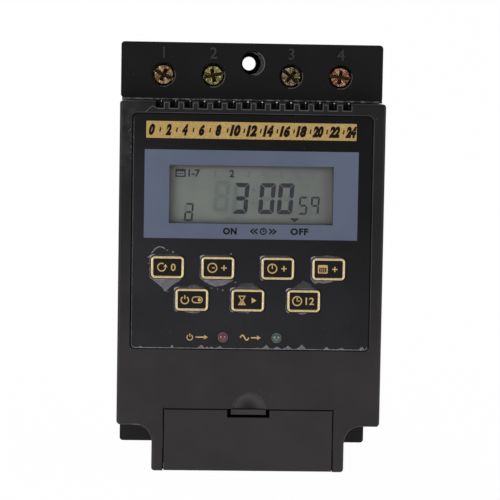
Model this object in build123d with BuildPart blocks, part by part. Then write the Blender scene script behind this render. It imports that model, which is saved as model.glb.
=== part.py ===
"""Digital timer switch for a wall or a 35 mm rail, built from its separate pieces.

The row frame has Z up, the front facing -Y and X to the right. The origin is under the
middle of the body, on the surface it stands on. Lengths are in millimetres.
"""

import math
import os

from build123d import *

os.makedirs("parts", exist_ok=True)

# Case
case_width = 74.0
case_height = 120.0
case_depth = 58.0
wall = 2.2
front_wall = 2.4
corner_radius = 1.0
edge_radius = 0.8
key_proud = 0.6
cover_length = 30.0
cover_inset = 0.1
cover_top_gap = 0.6
terminal_step = 13.4
terminal_block_height = 15.8
tab_thickness = 7.4
floor_thickness = 2.4
battery_contact_room = 10.5
notch_height = 13.1
lip_thickness = 1.0
lip_height = 2.5
lip_clearance = 0.15
seat_gap = 0.1

# Control panel on the front
panel_side_margin = 3.5
panel_top_margin = 3.3
panel_recess = 0.9
panel_thickness = 0.8
panel_corner = 1.5
panel_gap = 0.35
panel_foot = 3.55
window_height = 16.2
window_corner = 0.15
window_side_lap = 2.4
window_x = -0.2
window_drop = 22.4
lens_thickness = 1.0
lens_lap = 1.5
key_size = (9.2, 6.2)
key_corner = 0.9
key_crown = 0.4
key_flange_lap = 0.8
key_flange_thickness = 0.7
key_travel = 0.4
key_gap = 0.15
key_row_drop = 20.4
key_row_pitch = 9.0
# Where each key stands, as a share of half the width of the case
key_row_1_shares = (-0.6270, -0.2486, 0.2027, 0.5865)
key_row_2_shares = (-0.4405, -0.0189, 0.4027)
led_x = (-7.5, 7.5)
led_drop = 10.5
led_diameter = 2.9
led_proud = 0.4
led_height = 5.2

# Vents along the top edge of the front cover
vent_count = 14
vent_pitch = 4.0
vent_width = 2.1
vent_rise = 1.8
vent_back_margin = 2.0

# Terminals
terminal_side_margin = 12.0
terminal_inner_x = 11.0
terminal_top_margin = 9.2
tunnel_width = 10.0
tunnel_front_wall = 3.0
terminal_hole_diameter = 6.4
screw_recess = 1.0
screw_head_diameter = 6.0
screw_head_height = 2.4
screw_thread_diameter = 4.0
screw_length = 10.0
screw_pitch = 0.7
screw_thread_depth = 0.35
screw_angles = (25.0, -12.0, 40.0, 8.0)
thread_clearance = 0.05
clamp_thickness = 1.2
clamp_rim = 0.8
clamp_side_gap = 0.6
clamp_depth = 8.6
clamp_travel = 3.8
wire_gap = clamp_rim + clamp_travel + 0.4
plate_thickness = 1.6
plate_width = 9.0
leg_width = 4.0

# Mounting holes and the rail seat on the back
mount_x = 0.1
mount_top_margin = 5.65
mount_bore_diameter = 6.4
mount_hole_diameter = 4.0
mount_bore_depth = 28.4
mount_web = 3.6
mount_relief_diameter = 9.0
mount_boss_radius = 5.6
mouth_chamfer = 0.35
tab_hole_inset = 5.2
tab_hole_z = 8.4
tab_hole_diameter = 4.2
rail_width = 35.0
rail_play = 1.0
hook_reach = 2.0
hook_width = 14.0
hook_pitch = 24.0
rail_lip_gap = 1.3

# Rail clip
clip_width = 22.0
clip_thickness = 3.6
clip_gap = 0.3
clip_length = 39.0
clip_jaw = 2.0
clip_slot_width = 3.8
clip_slot_length = 20.0
clip_slot_foot = 8.0
clip_spring_radius = 1.2
clip_spring_wire = 0.4
clip_spring_turns = 12

# Fasteners
case_screw_inset = 5.8
case_screw_low_z = 24.0
case_screw_top_drop = 5.6
case_post_radius = 3.4
case_screw_radius = 1.4
case_screw_length = 20.0
case_screw_head = (2.4, 2.0)
case_screw_seat_depth = 14.8
board_screw_radius = 1.1
board_screw_length = 5.8
board_screw_head = (2.0, 1.2)
board_post_radius = 2.7
board_post_inset = 6.4
pilot_clearance = 0.05
pass_clearance = 0.2

# Boards
board_thickness = 1.6
board_side_gap = 1.0
control_board_gap = 7.0
control_board_low_z = 31.0
control_board_top_drop = 9.6
power_board_height = 6.0
power_board_low_z = 29.0
power_board_top_drop = 10.6
board_post_from_edge = 4.0
lead_length = 0.8
lead_clearance = 0.12

# Display module
lcd_height = 22.0
lcd_rear_height = 16.0
lcd_glass_thickness = 1.3
lcd_frame_wall = 1.7
lcd_shelf_thickness = 1.2
lcd_gap = 0.3
lcd_post_gap = 0.5

# Switches behind the keys
switch_side = 6.0
switch_height = 3.5
switch_skin = 0.4
switch_floor = 1.0
plunger_radius = 1.7
plunger_shoulder = 0.5
plunger_clearance = 0.1

# Battery, its cover and its contacts
cell_diameter = 10.5
cell_length = 43.7
cell_nub = (1.9, 0.8)
cell_y_from_front = 10.4
cell_z = 7.6
cover_panel_thickness = 1.6
cover_floor_gap = 0.2
battery_cover_margin = 3.55
battery_cover_top_z = 17.7
battery_cover_gap = 0.25
hinge_from_front = 16.5
hinge_radius = 0.8
hinge_pin_radius = 0.5
hinge_pin_length = 1.4
running_clearance = 0.05
compartment_depth = 16.0
compartment_wall = 1.6
compartment_height = 18.2
latch_width = 9.8
latch_height = 1.4
latch_slot_width = 11.9
latch_arm_length = 7.5
latch_arm_width = 8.0
latch_arm_thickness = 1.0
latch_rod_radius = 0.6
latch_travel = 0.8
latch_slot_depth = latch_height + latch_travel + 0.1
bracket_thickness = 1.0
finger_radius = 5.0
finger_depth = 1.1
finger_slope = 1.0
contact_thickness = 0.4
contact_side = 8.0
contact_tail = 5.0
battery_spring_turns = 2.5
battery_spring_wire = 0.7
battery_spring_radii = (4.0, 2.4)

# Relay on the power board
relay_size = (27.0, 20.0, 32.0)
relay_x = -27.0
relay_z_from_board = 9.0
relay_wall = 0.9
relay_base_thickness = 2.2
coil_radius = 5.0
coil_length = 18.0
yoke_thickness = 1.3
armature_thickness = 1.4
armature_gap = 1.0

# Depths along Y and heights along Z that the pieces share
front_y = key_proud - case_depth / 2
back_y = case_depth / 2
key_top_y = -case_depth / 2
inner_front_y = front_y + front_wall
terminal_y = front_y + terminal_step
floor_y = back_y - tab_thickness
seat_y = floor_y + floor_thickness
parting_y = front_y + cover_length
inner_x = case_width / 2 - wall
battery_section_width = cell_length + battery_contact_room
battery_cover_width = battery_section_width - 2 * battery_cover_margin
shoulder_width = (case_width - battery_section_width) / 2
notch_radius = shoulder_width * 5 / 11
panel_width = case_width - 2 * panel_side_margin
tab_hole_spacing = case_width - 2 * tab_hole_inset
block_z = case_height - terminal_block_height
cover_top_z = block_z - cover_top_gap
inner_top_z = cover_top_z - wall
panel_face_y = front_y + panel_recess - panel_thickness
recess_y = front_y + panel_recess
panel_top_z = cover_top_z - panel_top_margin
window_z = panel_top_z - window_drop
key_row_1_z = window_z - key_row_drop
key_row_2_z = key_row_1_z - key_row_pitch
led_z = key_row_2_z - led_drop
panel_low_z = led_z - panel_foot
panel_z = (panel_top_z + panel_low_z) / 2
panel_height = panel_top_z - panel_low_z
control_y = inner_front_y + control_board_gap
control_back_y = control_y + board_thickness
power_back_y = floor_y - power_board_height
power_y = power_back_y - board_thickness
control_top_z = cover_top_z - control_board_top_drop
power_top_z = cover_top_z - power_board_top_drop
board_half_width = inner_x - board_side_gap
post_x = case_width / 2 - board_post_inset
lcd_frame_half = post_x - board_post_radius - lcd_post_gap - abs(window_x)
lcd_size = (2 * (lcd_frame_half - lcd_frame_wall - lcd_gap), lcd_height)
window_size = (lcd_size[0] - 2 * window_side_lap, window_height)
control_posts = [
    (side * post_x, z)
    for side in (-1, 1)
    for z in (control_board_low_z + board_post_from_edge, control_top_z - board_post_from_edge)
]
power_posts = [
    (side * post_x, z)
    for side in (-1, 1)
    for z in (power_board_low_z + board_post_from_edge, power_top_z - board_post_from_edge)
]
case_screws_at = [
    (side * (case_width / 2 - case_screw_inset), z)
    for side in (-1, 1)
    for z in (case_screw_low_z, cover_top_z - case_screw_top_drop)
]
case_seat_y = back_y - case_screw_seat_depth
terminal_outer_x = case_width / 2 - terminal_side_margin
terminal_x = (-terminal_outer_x, -terminal_inner_x, terminal_inner_x, terminal_outer_x)
screw_z = case_height - terminal_top_margin
head_y = terminal_y + screw_recess
clamp_y = head_y + screw_head_height
plate_y = clamp_y + clamp_thickness + wire_gap
plate_back_y = plate_y + plate_thickness
leg_z = inner_top_z - 3.4
mount_z = case_height - mount_top_margin
mount_seat_y = terminal_y + mount_bore_depth
rail_z = case_height / 2 + 1.2
rail_low_z = rail_z - (rail_width + rail_play) / 2
rail_high_z = rail_z + (rail_width + rail_play) / 2
hinge_y = front_y + hinge_from_front
hinge_z = cover_floor_gap + hinge_radius
opening_half = battery_cover_width / 2 + battery_cover_gap
opening_top_z = battery_cover_top_z + cover_floor_gap
compartment_y = front_y + compartment_depth
battery_inner_x = battery_section_width / 2 - wall
cell_y = front_y + cell_y_from_front
latch_rod_y = front_y + cover_panel_thickness + latch_arm_length
latch_rod_z = battery_cover_top_z - latch_arm_thickness / 2 - seat_gap
key_row_1_x = [share * case_width / 2 for share in key_row_1_shares]
key_row_2_x = [share * case_width / 2 for share in key_row_2_shares]
keys_at = {
    "reset": (key_row_1_x[0], key_row_1_z),
    "hour": (key_row_1_x[1], key_row_1_z),
    "minute": (key_row_1_x[2], key_row_1_z),
    "week": (key_row_1_x[3], key_row_1_z),
    "manual": (key_row_2_x[0], key_row_2_z),
    "timer": (key_row_2_x[1], key_row_2_z),
    "clock": (key_row_2_x[2], key_row_2_z),
}


# Helpers
def front_plane(y):
    """Sketch plane facing the viewer at depth y, with x to the right and z up."""
    return Plane.XZ.offset(-y)


def block(x, y, z, mode=Mode.ADD):
    """Box between (low, high) limits along each axis."""
    with Locations(((x[0] + x[1]) / 2, (y[0] + y[1]) / 2, (z[0] + z[1]) / 2)):
        Box(x[1] - x[0], y[1] - y[0], z[1] - z[0], mode=mode)


def rod(centre, y, radius, mode=Mode.ADD):
    """Round bar along Y at (x, z), between two depths."""
    with Locations(Location((centre[0], (y[0] + y[1]) / 2, centre[1]), (90, 0, 0))):
        Cylinder(radius, y[1] - y[0], mode=mode)


def axle(x, centre, radius, mode=Mode.ADD):
    """Round bar along X at (y, z), between two places."""
    with Locations(Location(((x[0] + x[1]) / 2, centre[0], centre[1]), (0, 90, 0))):
        Cylinder(radius, x[1] - x[0], mode=mode)


def panel(centre, size, radius, y, mode=Mode.ADD):
    """Rounded rectangular plate facing the viewer, between two depths."""
    with BuildSketch(front_plane(y[0])) as outline:
        with Locations(centre):
            RectangleRounded(size[0], size[1], radius)
    extrude(outline.sketch, amount=y[0] - y[1], mode=mode)


def turned(centre, points, mode=Mode.ADD):
    """Solid turned about the line along Y through (x, z), from (radius, y) points."""
    with BuildSketch(Plane.XY.offset(centre[1])) as half:
        with BuildLine():
            Polyline(*[(centre[0] + radius, y) for radius, y in points], close=True)
        make_face()
    revolve(half.sketch, axis=Axis((centre[0], 0, centre[1]), (0, 1, 0)), mode=mode)


def bar(x, points, mode=Mode.ADD):
    """Solid of constant section along X, from (y, z) points."""
    with BuildSketch(Plane.YZ.offset(x[0])) as outline:
        with BuildLine():
            Polyline(*points, close=True)
        make_face()
    extrude(outline.sketch, amount=x[1] - x[0], mode=mode)


def case_outline(inset, y, top):
    """The case seen from the front: a tall box with its two lower corners notched."""
    side = case_width / 2 - inset
    leg = battery_section_width / 2 - inset
    shoulder = notch_height + inset
    outer = max(corner_radius - inset, 0.3)
    inner = notch_radius + inset
    corners = [(-side, top), (side, top), (side, shoulder), (leg, shoulder)]
    corners += [(leg, inset), (-leg, inset), (-leg, shoulder), (-side, shoulder)]
    with BuildSketch(front_plane(y)) as outline:
        with BuildLine():
            FilletPolyline(
                *corners,
                radius=[outer, outer, outer, inner, outer, outer, inner, outer],
                close=True,
            )
        make_face()
    return outline.sketch


def biarc_coil(radii, turns, start, direction, length, steps_per_turn, phase=0.0):
    """Wire centre line that winds about an axis, as pairs of arcs that meet smoothly.

    It starts at the point start on the axis, runs along direction over length, and its
    radius goes evenly from the first of radii to the second.
    """
    along = Vector(*direction).normalized()
    side = along.cross(Vector(0, 1, 0)).normalized()
    other = along.cross(side)
    steps = round(turns * steps_per_turn)

    def at(t):
        angle = phase + 2 * math.pi * turns * t
        radius = radii[0] + (radii[1] - radii[0]) * t
        return Vector(*start) + along * (length * t) + (
            side * math.cos(angle) + other * math.sin(angle)
        ) * radius

    def heading(t):
        angle = phase + 2 * math.pi * turns * t
        radius = radii[0] + (radii[1] - radii[0]) * t
        turn = (other * math.cos(angle) - side * math.sin(angle)) * (
            radius * 2 * math.pi * turns
        )
        widen = (side * math.cos(angle) + other * math.sin(angle)) * (radii[1] - radii[0])
        return (turn + widen + along * length).normalized()

    arcs = []
    for step in range(steps):
        t0, t1 = step / steps, (step + 1) / steps
        p0, p1, h0, h1 = at(t0), at(t1), heading(t0), heading(t1)
        chord, both = p1 - p0, h0 + h1
        bend = 2 * (1 - h0.dot(h1))
        reach = (-chord.dot(both) + math.sqrt(chord.dot(both) ** 2 + bend * chord.dot(chord))) / bend
        middle = (p0 + h0 * reach + p1 - h1 * reach) * 0.5
        middle_heading = (p1 - h1 * reach - p0 - h0 * reach).normalized()
        arcs.append(Edge.make_tangent_arc(p0, h0, middle))
        arcs.append(Edge.make_tangent_arc(middle, middle_heading, p1))
    return Wire(arcs), at(0), heading(0)


def least_gap(path, wire, spacing):
    """Least distance between parts of a wound wire that are over half a turn apart."""
    length = path.length
    count = int(length / spacing)
    points = [path @ (i / count) for i in range(count + 1)]
    skip = int(wire * 4 / spacing)
    return min(
        (points[i] - points[j]).length
        for i in range(len(points))
        for j in range(i + skip, len(points))
    ) - wire


def keep(piece, label):
    """Name a finished piece and write it."""
    piece.part.label = label
    export_step(piece.part, f"parts/{label}.step")


def lip_outline(inset, y):
    """The locating lip seen from the front: a band along the sides and the bottom."""
    with BuildSketch(front_plane(y)) as outline:
        add(case_outline(inset, y, control_top_z))
        add(case_outline(wall + lip_clearance + lip_thickness, y, control_top_z + 1), mode=Mode.SUBTRACT)
    return outline.sketch


# Rear base: floor, side walls, terminal block, mounting tabs and the rail seat
def make_rear_base():
    back = (seat_y, back_y + 1)
    skirt_x = case_width / 2 - wall
    clip_half = clip_width / 2 + clip_gap
    rib = 1.4
    rib_y = (seat_y - 0.5, back_y - 0.4)
    upper_field = (rail_high_z + wall, case_height - wall)
    lower_field = (wall, rail_low_z - wall)
    with BuildPart() as base:
        panel((0, case_height / 2), (case_width, case_height), corner_radius, (floor_y, back_y))
        extrude(case_outline(0, parting_y, case_height), amount=parting_y - floor_y)
        panel(
            (0, (block_z + case_height) / 2),
            (case_width, terminal_block_height),
            corner_radius,
            (terminal_y, parting_y),
        )
        extrude(
            case_outline(wall, parting_y - 1, inner_top_z),
            amount=parting_y - 1 - floor_y,
            mode=Mode.SUBTRACT,
        )
        # Lip that enters the front cover, on a shoulder inside the wall
        extrude(lip_outline(wall - 0.5, parting_y), amount=-lip_height)
        extrude(lip_outline(wall + lip_clearance, parting_y - lip_height), amount=-lip_height)
        # Room for the screw posts of the front cover
        for spot in case_screws_at:
            rod(spot, (inner_front_y, parting_y + 0.3), case_post_radius + lip_clearance, Mode.SUBTRACT)
        # Rail channel across the back, and the hollow fields above and below it
        block((-case_width, case_width), back, (rail_low_z, rail_high_z), Mode.SUBTRACT)
        block((-skirt_x, skirt_x), back, upper_field, Mode.SUBTRACT)
        block((-skirt_x, skirt_x), back, lower_field, Mode.SUBTRACT)
        for side in (-1, 1):
            core = sorted((side * (mount_relief_diameter / 2 + wall), side * skirt_x))
            block(core, (plate_back_y + 10, back_y), (block_z + wall, case_height - wall), Mode.SUBTRACT)
        # Ribs and bosses on the back
        for x in (-24.0, -12.0, 12.0, 24.0):
            block((x - rib / 2, x + rib / 2), rib_y, (upper_field[0] - 0.5, block_z + wall + 0.5))
            if abs(x) > clip_half + wall:
                block((x - rib / 2, x + rib / 2), rib_y, (lower_field[0] - 0.5, lower_field[1] + 0.5))
        middle_z = (upper_field[0] + block_z) / 2
        block((-skirt_x - 0.5, skirt_x + 0.5), rib_y, (middle_z - rib / 2, middle_z + rib / 2))
        boss_y = (seat_y - 0.5, back_y)
        for spot in case_screws_at:
            rod(spot, (parting_y + 0.4, back_y - 0.4), case_post_radius)
        rod((mount_x, mount_z), boss_y, mount_boss_radius)
        for side in (-1, 1):
            rod((side * tab_hole_spacing / 2, tab_hole_z), boss_y, tab_hole_diameter)
            guide = sorted((side * clip_half, side * (clip_half + wall)))
            block(guide, boss_y, (lower_field[0] - 0.5, lower_field[1] + 0.5))
            lip = sorted((side * (clip_half - 1.7), side * (clip_half + 0.5)))
            block(lip, (back_y - 0.8, back_y), (lower_field[0] + 6, lower_field[1] + 0.5))
            rod((side * post_x, power_posts[0][1]), (power_back_y, floor_y + 0.5), board_post_radius)
            rod((side * post_x, power_posts[1][1]), (power_back_y, floor_y + 0.5), board_post_radius)
        # Hooks over the top edge of the rail
        hook_y = (seat_y + rail_lip_gap, seat_y + rail_lip_gap + 2.5)
        for place in (-1, 0, 1):
            x = (place * hook_pitch - hook_width / 2, place * hook_pitch + hook_width / 2)
            low = rail_high_z - hook_reach
            bar(x, [(hook_y[0], low), (hook_y[1] - 1, low), (hook_y[1], low + 1),
                    (hook_y[1], rail_high_z + 0.5), (hook_y[0], rail_high_z + 0.5)])
        # Way of the rail clip and the peg that its spring stands on
        block((-clip_half, clip_half), (seat_y, seat_y + clip_gap * 2 + clip_thickness),
              (lower_field[1] - 0.5, rail_low_z + 0.5), Mode.SUBTRACT)
        block((-6, 6), back, (-1, wall + 0.5), Mode.SUBTRACT)
        peg_z = rail_low_z + clip_jaw - clip_length + clip_slot_foot
        block((-clip_slot_width / 2 + clip_gap, clip_slot_width / 2 - clip_gap),
              (seat_y - 0.5, seat_y + 3.0), (peg_z + 0.2, peg_z + 1.6))
        # Terminal tunnels, screw holes and room behind them for the screw tips
        for x in terminal_x:
            block(
                (x - tunnel_width / 2, x + tunnel_width / 2),
                (terminal_y + tunnel_front_wall, plate_back_y),
                (block_z - 1, case_height + 1),
                Mode.SUBTRACT,
            )
            hole = terminal_hole_diameter / 2
            turned((x, screw_z), [
                (0, terminal_y - 1), (hole + 0.3, terminal_y - 1), (hole + 0.3, terminal_y),
                (hole, terminal_y + 0.3), (hole, terminal_y + tunnel_front_wall + 0.1),
                (0, terminal_y + tunnel_front_wall + 0.1)], Mode.SUBTRACT)
            rod((x, screw_z), (plate_back_y - 0.1, plate_back_y + 7.8),
                screw_thread_diameter / 2 + 0.4, Mode.SUBTRACT)
        # Rib that closes the gap over the top wall of the front cover
        block((-inner_x + 0.8, inner_x - 0.8), (plate_y - 2.2, plate_y - 0.6),
              (inner_top_z - 1.2, block_z + 0.1))
        for spot in case_screws_at:
            rod(spot, (inner_front_y, terminal_y + 15), case_post_radius + lip_clearance, Mode.SUBTRACT)
        # Mounting holes
        bore, hole = mount_bore_diameter / 2, mount_hole_diameter / 2
        relief = mount_relief_diameter / 2
        web_y = mount_seat_y + mount_web
        turned((mount_x, mount_z), [
            (0, terminal_y - 1), (bore + mouth_chamfer, terminal_y - 1),
            (bore + mouth_chamfer, terminal_y), (bore, terminal_y + mouth_chamfer),
            (bore, mount_seat_y), (hole, mount_seat_y), (hole, web_y), (relief, web_y),
            (relief, back_y + 1), (0, back_y + 1)], Mode.SUBTRACT)
        for side in (-1, 1):
            rod((side * tab_hole_spacing / 2, tab_hole_z), (floor_y - 1, back_y + 1),
                tab_hole_diameter / 2, Mode.SUBTRACT)
        # Case screws enter from the back
        for spot in case_screws_at:
            rod(spot, (parting_y, back_y), case_screw_radius + pass_clearance, Mode.SUBTRACT)
            rod(spot, (case_seat_y, back_y), case_screw_head[0] + pass_clearance, Mode.SUBTRACT)
        for spot in power_posts:
            rod(spot, (power_back_y - 0.1, floor_y - 0.6),
                board_screw_radius + pilot_clearance, Mode.SUBTRACT)
    keep(base, "rear_base")


# Front cover with the panel recess, vents and the battery compartment
def make_front_cover():
    with BuildPart() as cover:
        extrude(case_outline(cover_inset, front_y, cover_top_z), amount=-cover_length)
        fillet(cover.faces().sort_by(Axis.Y)[0].edges(), edge_radius)
        extrude(
            case_outline(wall, inner_front_y, inner_top_z),
            amount=-cover_length,
            mode=Mode.SUBTRACT,
        )
        # The top wall stops short, where the terminal legs come down
        block((-inner_x, inner_x), (plate_y - 2.6, parting_y + 1),
              (inner_top_z - 1, cover_top_z + 1), Mode.SUBTRACT)
        # Battery compartment: roof and rear wall
        block((-battery_inner_x - 0.1, battery_inner_x + 0.1),
              (inner_front_y - 0.1, compartment_y + 2),
              (compartment_height, compartment_height + compartment_wall))
        block((-battery_inner_x - 0.1, battery_inner_x + 0.1),
              (compartment_y, compartment_y + 2), (wall, compartment_height + 0.1))
        block((-opening_half, opening_half), (front_y - 1, inner_front_y + 0.1),
              (-1, opening_top_z), Mode.SUBTRACT)
        block((-opening_half, opening_half), (front_y - 1, hinge_y + hinge_radius + 0.2),
              (-1, wall + 0.1), Mode.SUBTRACT)
        for side in (-1, 1):
            pin = sorted((side * (opening_half - 0.1), side * (opening_half + hinge_pin_length)))
            axle(pin, (hinge_y, hinge_z), hinge_pin_radius + running_clearance, Mode.SUBTRACT)
            tail = sorted((side * (battery_inner_x - contact_thickness - 0.2), side * battery_inner_x))
            block(tail, (cell_y + 1.9, cell_y + contact_side / 2 + 0.1),
                  (compartment_height - 0.1, compartment_height + compartment_wall + 0.1), Mode.SUBTRACT)
        # Half-round recess for a fingertip over the battery cover
        turned((0, opening_top_z), [
            (0, front_y - 1), (finger_radius, front_y - 1), (finger_radius, front_y),
            (finger_radius - finger_slope, front_y + finger_depth),
            (0, front_y + finger_depth)], Mode.SUBTRACT)
        # Panel recess, window, keys and lamps
        panel((0, panel_z), (panel_width, panel_height), panel_corner, (front_y - 1, recess_y), Mode.SUBTRACT)
        panel((window_x, window_z), window_size, window_corner,
              (front_y, inner_front_y + 0.1), Mode.SUBTRACT)
        lens = (window_size[0] + 2 * lens_lap, window_size[1] + 2 * lens_lap)
        panel((window_x, window_z), lens, 0.4,
              (inner_front_y - lens_thickness, inner_front_y + 0.1), Mode.SUBTRACT)
        hole = (key_size[0] + 2 * key_gap + 0.2, key_size[1] + 2 * key_gap + 0.2)
        for spot in keys_at.values():
            panel(spot, hole, key_corner, (front_y, inner_front_y + 0.1), Mode.SUBTRACT)
        for x in led_x:
            rod((x, led_z), (front_y, inner_front_y + 0.1), led_diameter / 2 + 0.15, Mode.SUBTRACT)
        # Vents through the top edge
        for i in range(vent_count):
            x = (i - (vent_count - 1) / 2) * vent_pitch
            slot = (x - vent_width / 2, x + vent_width / 2)
            end = terminal_y - vent_back_margin
            block(slot, (front_y - 1, end), (cover_top_z - vent_rise, cover_top_z + 1), Mode.SUBTRACT)
            block(slot, (inner_front_y, end), (inner_top_z - 0.1, cover_top_z + 1), Mode.SUBTRACT)
        # Posts for the control board and for the case screws
        for spot in control_posts:
            rod(spot, (inner_front_y - 0.1, control_y), board_post_radius)
            rod(spot, (inner_front_y + 0.8, control_y + 0.1),
                board_screw_radius + pilot_clearance, Mode.SUBTRACT)
        for spot in case_screws_at:
            rod(spot, (inner_front_y - 0.1, parting_y + 0.2), case_post_radius)
            rod(spot, (case_seat_y - case_screw_length - 2, parting_y + 0.3),
                case_screw_radius + pilot_clearance, Mode.SUBTRACT)
    keep(cover, "front_cover")


# Battery cover, hinged at the lower rear edge of its floor
def make_battery_cover():
    half = battery_cover_width / 2
    panel_back = front_y + cover_panel_thickness
    floor_top = hinge_z + hinge_radius
    with BuildPart() as cover:
        block((-half, half), (front_y, panel_back), (cover_floor_gap, battery_cover_top_z))
        block((-half, half), (front_y, hinge_y), (cover_floor_gap, floor_top))
        low_front = cover.edges().filter_by(Axis.X).group_by(Axis.Y)[0].sort_by(Axis.Z)[0]
        fillet(low_front, edge_radius)
        axle((-half, half), (hinge_y, hinge_z), hinge_radius)
        axle((-half - hinge_pin_length, half + hinge_pin_length), (hinge_y, hinge_z), hinge_pin_radius)
        slot = latch_slot_width / 2
        block((-slot, slot), (front_y - 1, panel_back + 1),
              (battery_cover_top_z - latch_slot_depth, battery_cover_top_z + 1), Mode.SUBTRACT)
        for side in (-1, 1):
            rib = sorted((side * (slot + 0.1), side * (slot + 0.1 + bracket_thickness)))
            block(rib, (panel_back - 0.1, latch_rod_y + 1.0),
                  (latch_rod_z - 2.1, latch_rod_z + latch_rod_radius + 0.2))
        reach = slot + bracket_thickness + 1
        axle((-reach, reach), (latch_rod_y, latch_rod_z), latch_rod_radius + running_clearance, Mode.SUBTRACT)
    keep(cover, "battery_cover")


# Latch tongue of the battery cover: thumb pad, arm and the rod it bends about
def make_battery_latch():
    pad_back = front_y + cover_panel_thickness
    reach = latch_slot_width / 2 + 0.1 + bracket_thickness
    with BuildPart() as latch:
        block((-latch_width / 2, latch_width / 2), (front_y, pad_back),
              (battery_cover_top_z - latch_height, battery_cover_top_z))
        block((-latch_arm_width / 2, latch_arm_width / 2), (pad_back - 0.1, latch_rod_y),
              (latch_rod_z - latch_arm_thickness / 2, latch_rod_z + latch_arm_thickness / 2))
        axle((-reach, reach), (latch_rod_y, latch_rod_z), latch_rod_radius)
        axle((-latch_arm_width / 2, latch_arm_width / 2), (latch_rod_y, latch_rod_z), latch_rod_radius + 0.1)
    keep(latch, "battery_latch")


# Battery cell and its two contacts
def make_battery():
    tip = battery_inner_x - contact_thickness - 0.9
    shoulder = tip - cell_nub[1]
    low = shoulder - cell_length
    with BuildPart() as cell:
        axle((low, shoulder), (cell_y, cell_z), cell_diameter / 2)
        fillet(cell.edges().filter_by(GeomType.CIRCLE), 0.5)
        axle((shoulder - 0.1, tip), (cell_y, cell_z), cell_nub[0])
    keep(cell, "battery_cell")

    side = contact_side / 2
    tail_z = compartment_height + compartment_wall + contact_tail
    plate = (battery_inner_x - contact_thickness, battery_inner_x)
    tail_y = (cell_y + 2.0, cell_y + side)
    with BuildPart() as contact:
        block(plate, (cell_y - side, cell_y + side), (cell_z - side, cell_z + side))
        block(plate, tail_y, (cell_z, tail_z))
        axle((tip, plate[0] + 0.1), (cell_y, cell_z), 1.6)
    keep(contact, "battery_contact")

    start = -plate[0] + battery_spring_wire / 2 - 0.1
    end = low - battery_spring_wire / 2
    path, first, heading = biarc_coil(
        battery_spring_radii, battery_spring_turns, (start, cell_y, cell_z), (1, 0, 0), end - start, 4
    )
    print("battery spring: least gap", round(least_gap(path, battery_spring_wire, 0.4), 2), "mm")
    with BuildPart() as spring:
        block((-plate[1], -plate[0]), (cell_y - side, cell_y + side), (cell_z - side, cell_z + side))
        block((-plate[1], -plate[0]), tail_y, (cell_z, tail_z))
        with BuildSketch(Plane(origin=first, z_dir=heading)):
            Circle(battery_spring_wire / 2)
        sweep(path=path)
    keep(spring, "battery_spring")

    lead_radius = 0.6
    turn = 2.0
    with BuildPart() as leads:
        for sign in (-1, 1):
            x = sign * sum(plate) / 2
            inward = sign * (plate[0] - 5)
            y = sum(tail_y) / 2
            run = [(x, y, tail_z), (x, y, tail_z + 3), (inward, y, tail_z + 7),
                   (inward, control_back_y, tail_z + 7)]
            with BuildLine() as route:
                FilletPolyline(*run, radius=turn)
            with BuildSketch(Plane(origin=run[0], z_dir=(0, 0, 1))):
                Circle(lead_radius)
            sweep(path=route.line)
    keep(leads, "battery_leads")


# Printed panel that carries the markings
def make_panel_overlay():
    hole = (key_size[0] + 2 * key_gap, key_size[1] + 2 * key_gap)
    size = (panel_width - 2 * panel_gap, panel_height - 2 * panel_gap)
    depth = (panel_face_y - 0.5, recess_y + 0.5)
    with BuildPart() as overlay:
        panel((0, panel_z), size, panel_corner - panel_gap, (panel_face_y, recess_y))
        panel((window_x, window_z), window_size, window_corner, depth, Mode.SUBTRACT)
        for spot in keys_at.values():
            panel(spot, hole, key_corner, depth, Mode.SUBTRACT)
        for x in led_x:
            rod((x, led_z), depth, led_diameter / 2 + 0.1, Mode.SUBTRACT)
    keep(overlay, "panel_overlay")


# Display: clear lens, glass, holder and the rubber strips that connect it
def make_display():
    lap = 2 * lens_lap - 2 * seat_gap
    with BuildPart() as lens:
        panel((window_x, window_z), (window_size[0] + lap, window_size[1] + lap), 0.3,
              (inner_front_y - lens_thickness, inner_front_y))
    keep(lens, "display_lens")

    centre = (window_x, window_z)
    glass_y = inner_front_y + 0.2
    ledge_y = glass_y + lcd_glass_thickness
    rear_y = ledge_y + lcd_glass_thickness
    with BuildPart() as glass:
        panel(centre, lcd_size, 0.2, (glass_y, ledge_y))
        panel(centre, (lcd_size[0], lcd_rear_height), 0.2, (ledge_y, rear_y))
    keep(glass, "lcd_glass")

    bore = (lcd_size[0] + 2 * lcd_gap, lcd_size[1] + 2 * lcd_gap)
    outer = (bore[0] + 2 * lcd_frame_wall, bore[1] + 2 * lcd_frame_wall)
    shelf_y = (rear_y + 0.1, rear_y + 0.1 + lcd_shelf_thickness)
    with BuildPart() as frame:
        panel(centre, outer, 1.0, (inner_front_y + seat_gap, control_y))
        panel(centre, bore, 0.3, (inner_front_y, control_y + 0.1), Mode.SUBTRACT)
        panel(centre, (bore[0] + 1, lcd_rear_height - 1), 0.3, shelf_y)
    keep(frame, "lcd_frame")

    strip_height = (lcd_size[1] - lcd_rear_height) / 2 - 0.4
    with BuildPart() as strips:
        for side in (-1, 1):
            z = window_z + side * (lcd_size[1] / 2 - strip_height / 2 - 0.1)
            panel((window_x, z), (lcd_size[0] - 2, strip_height), 0.3, (ledge_y, control_y))
    keep(strips, "zebra_strips")


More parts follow.
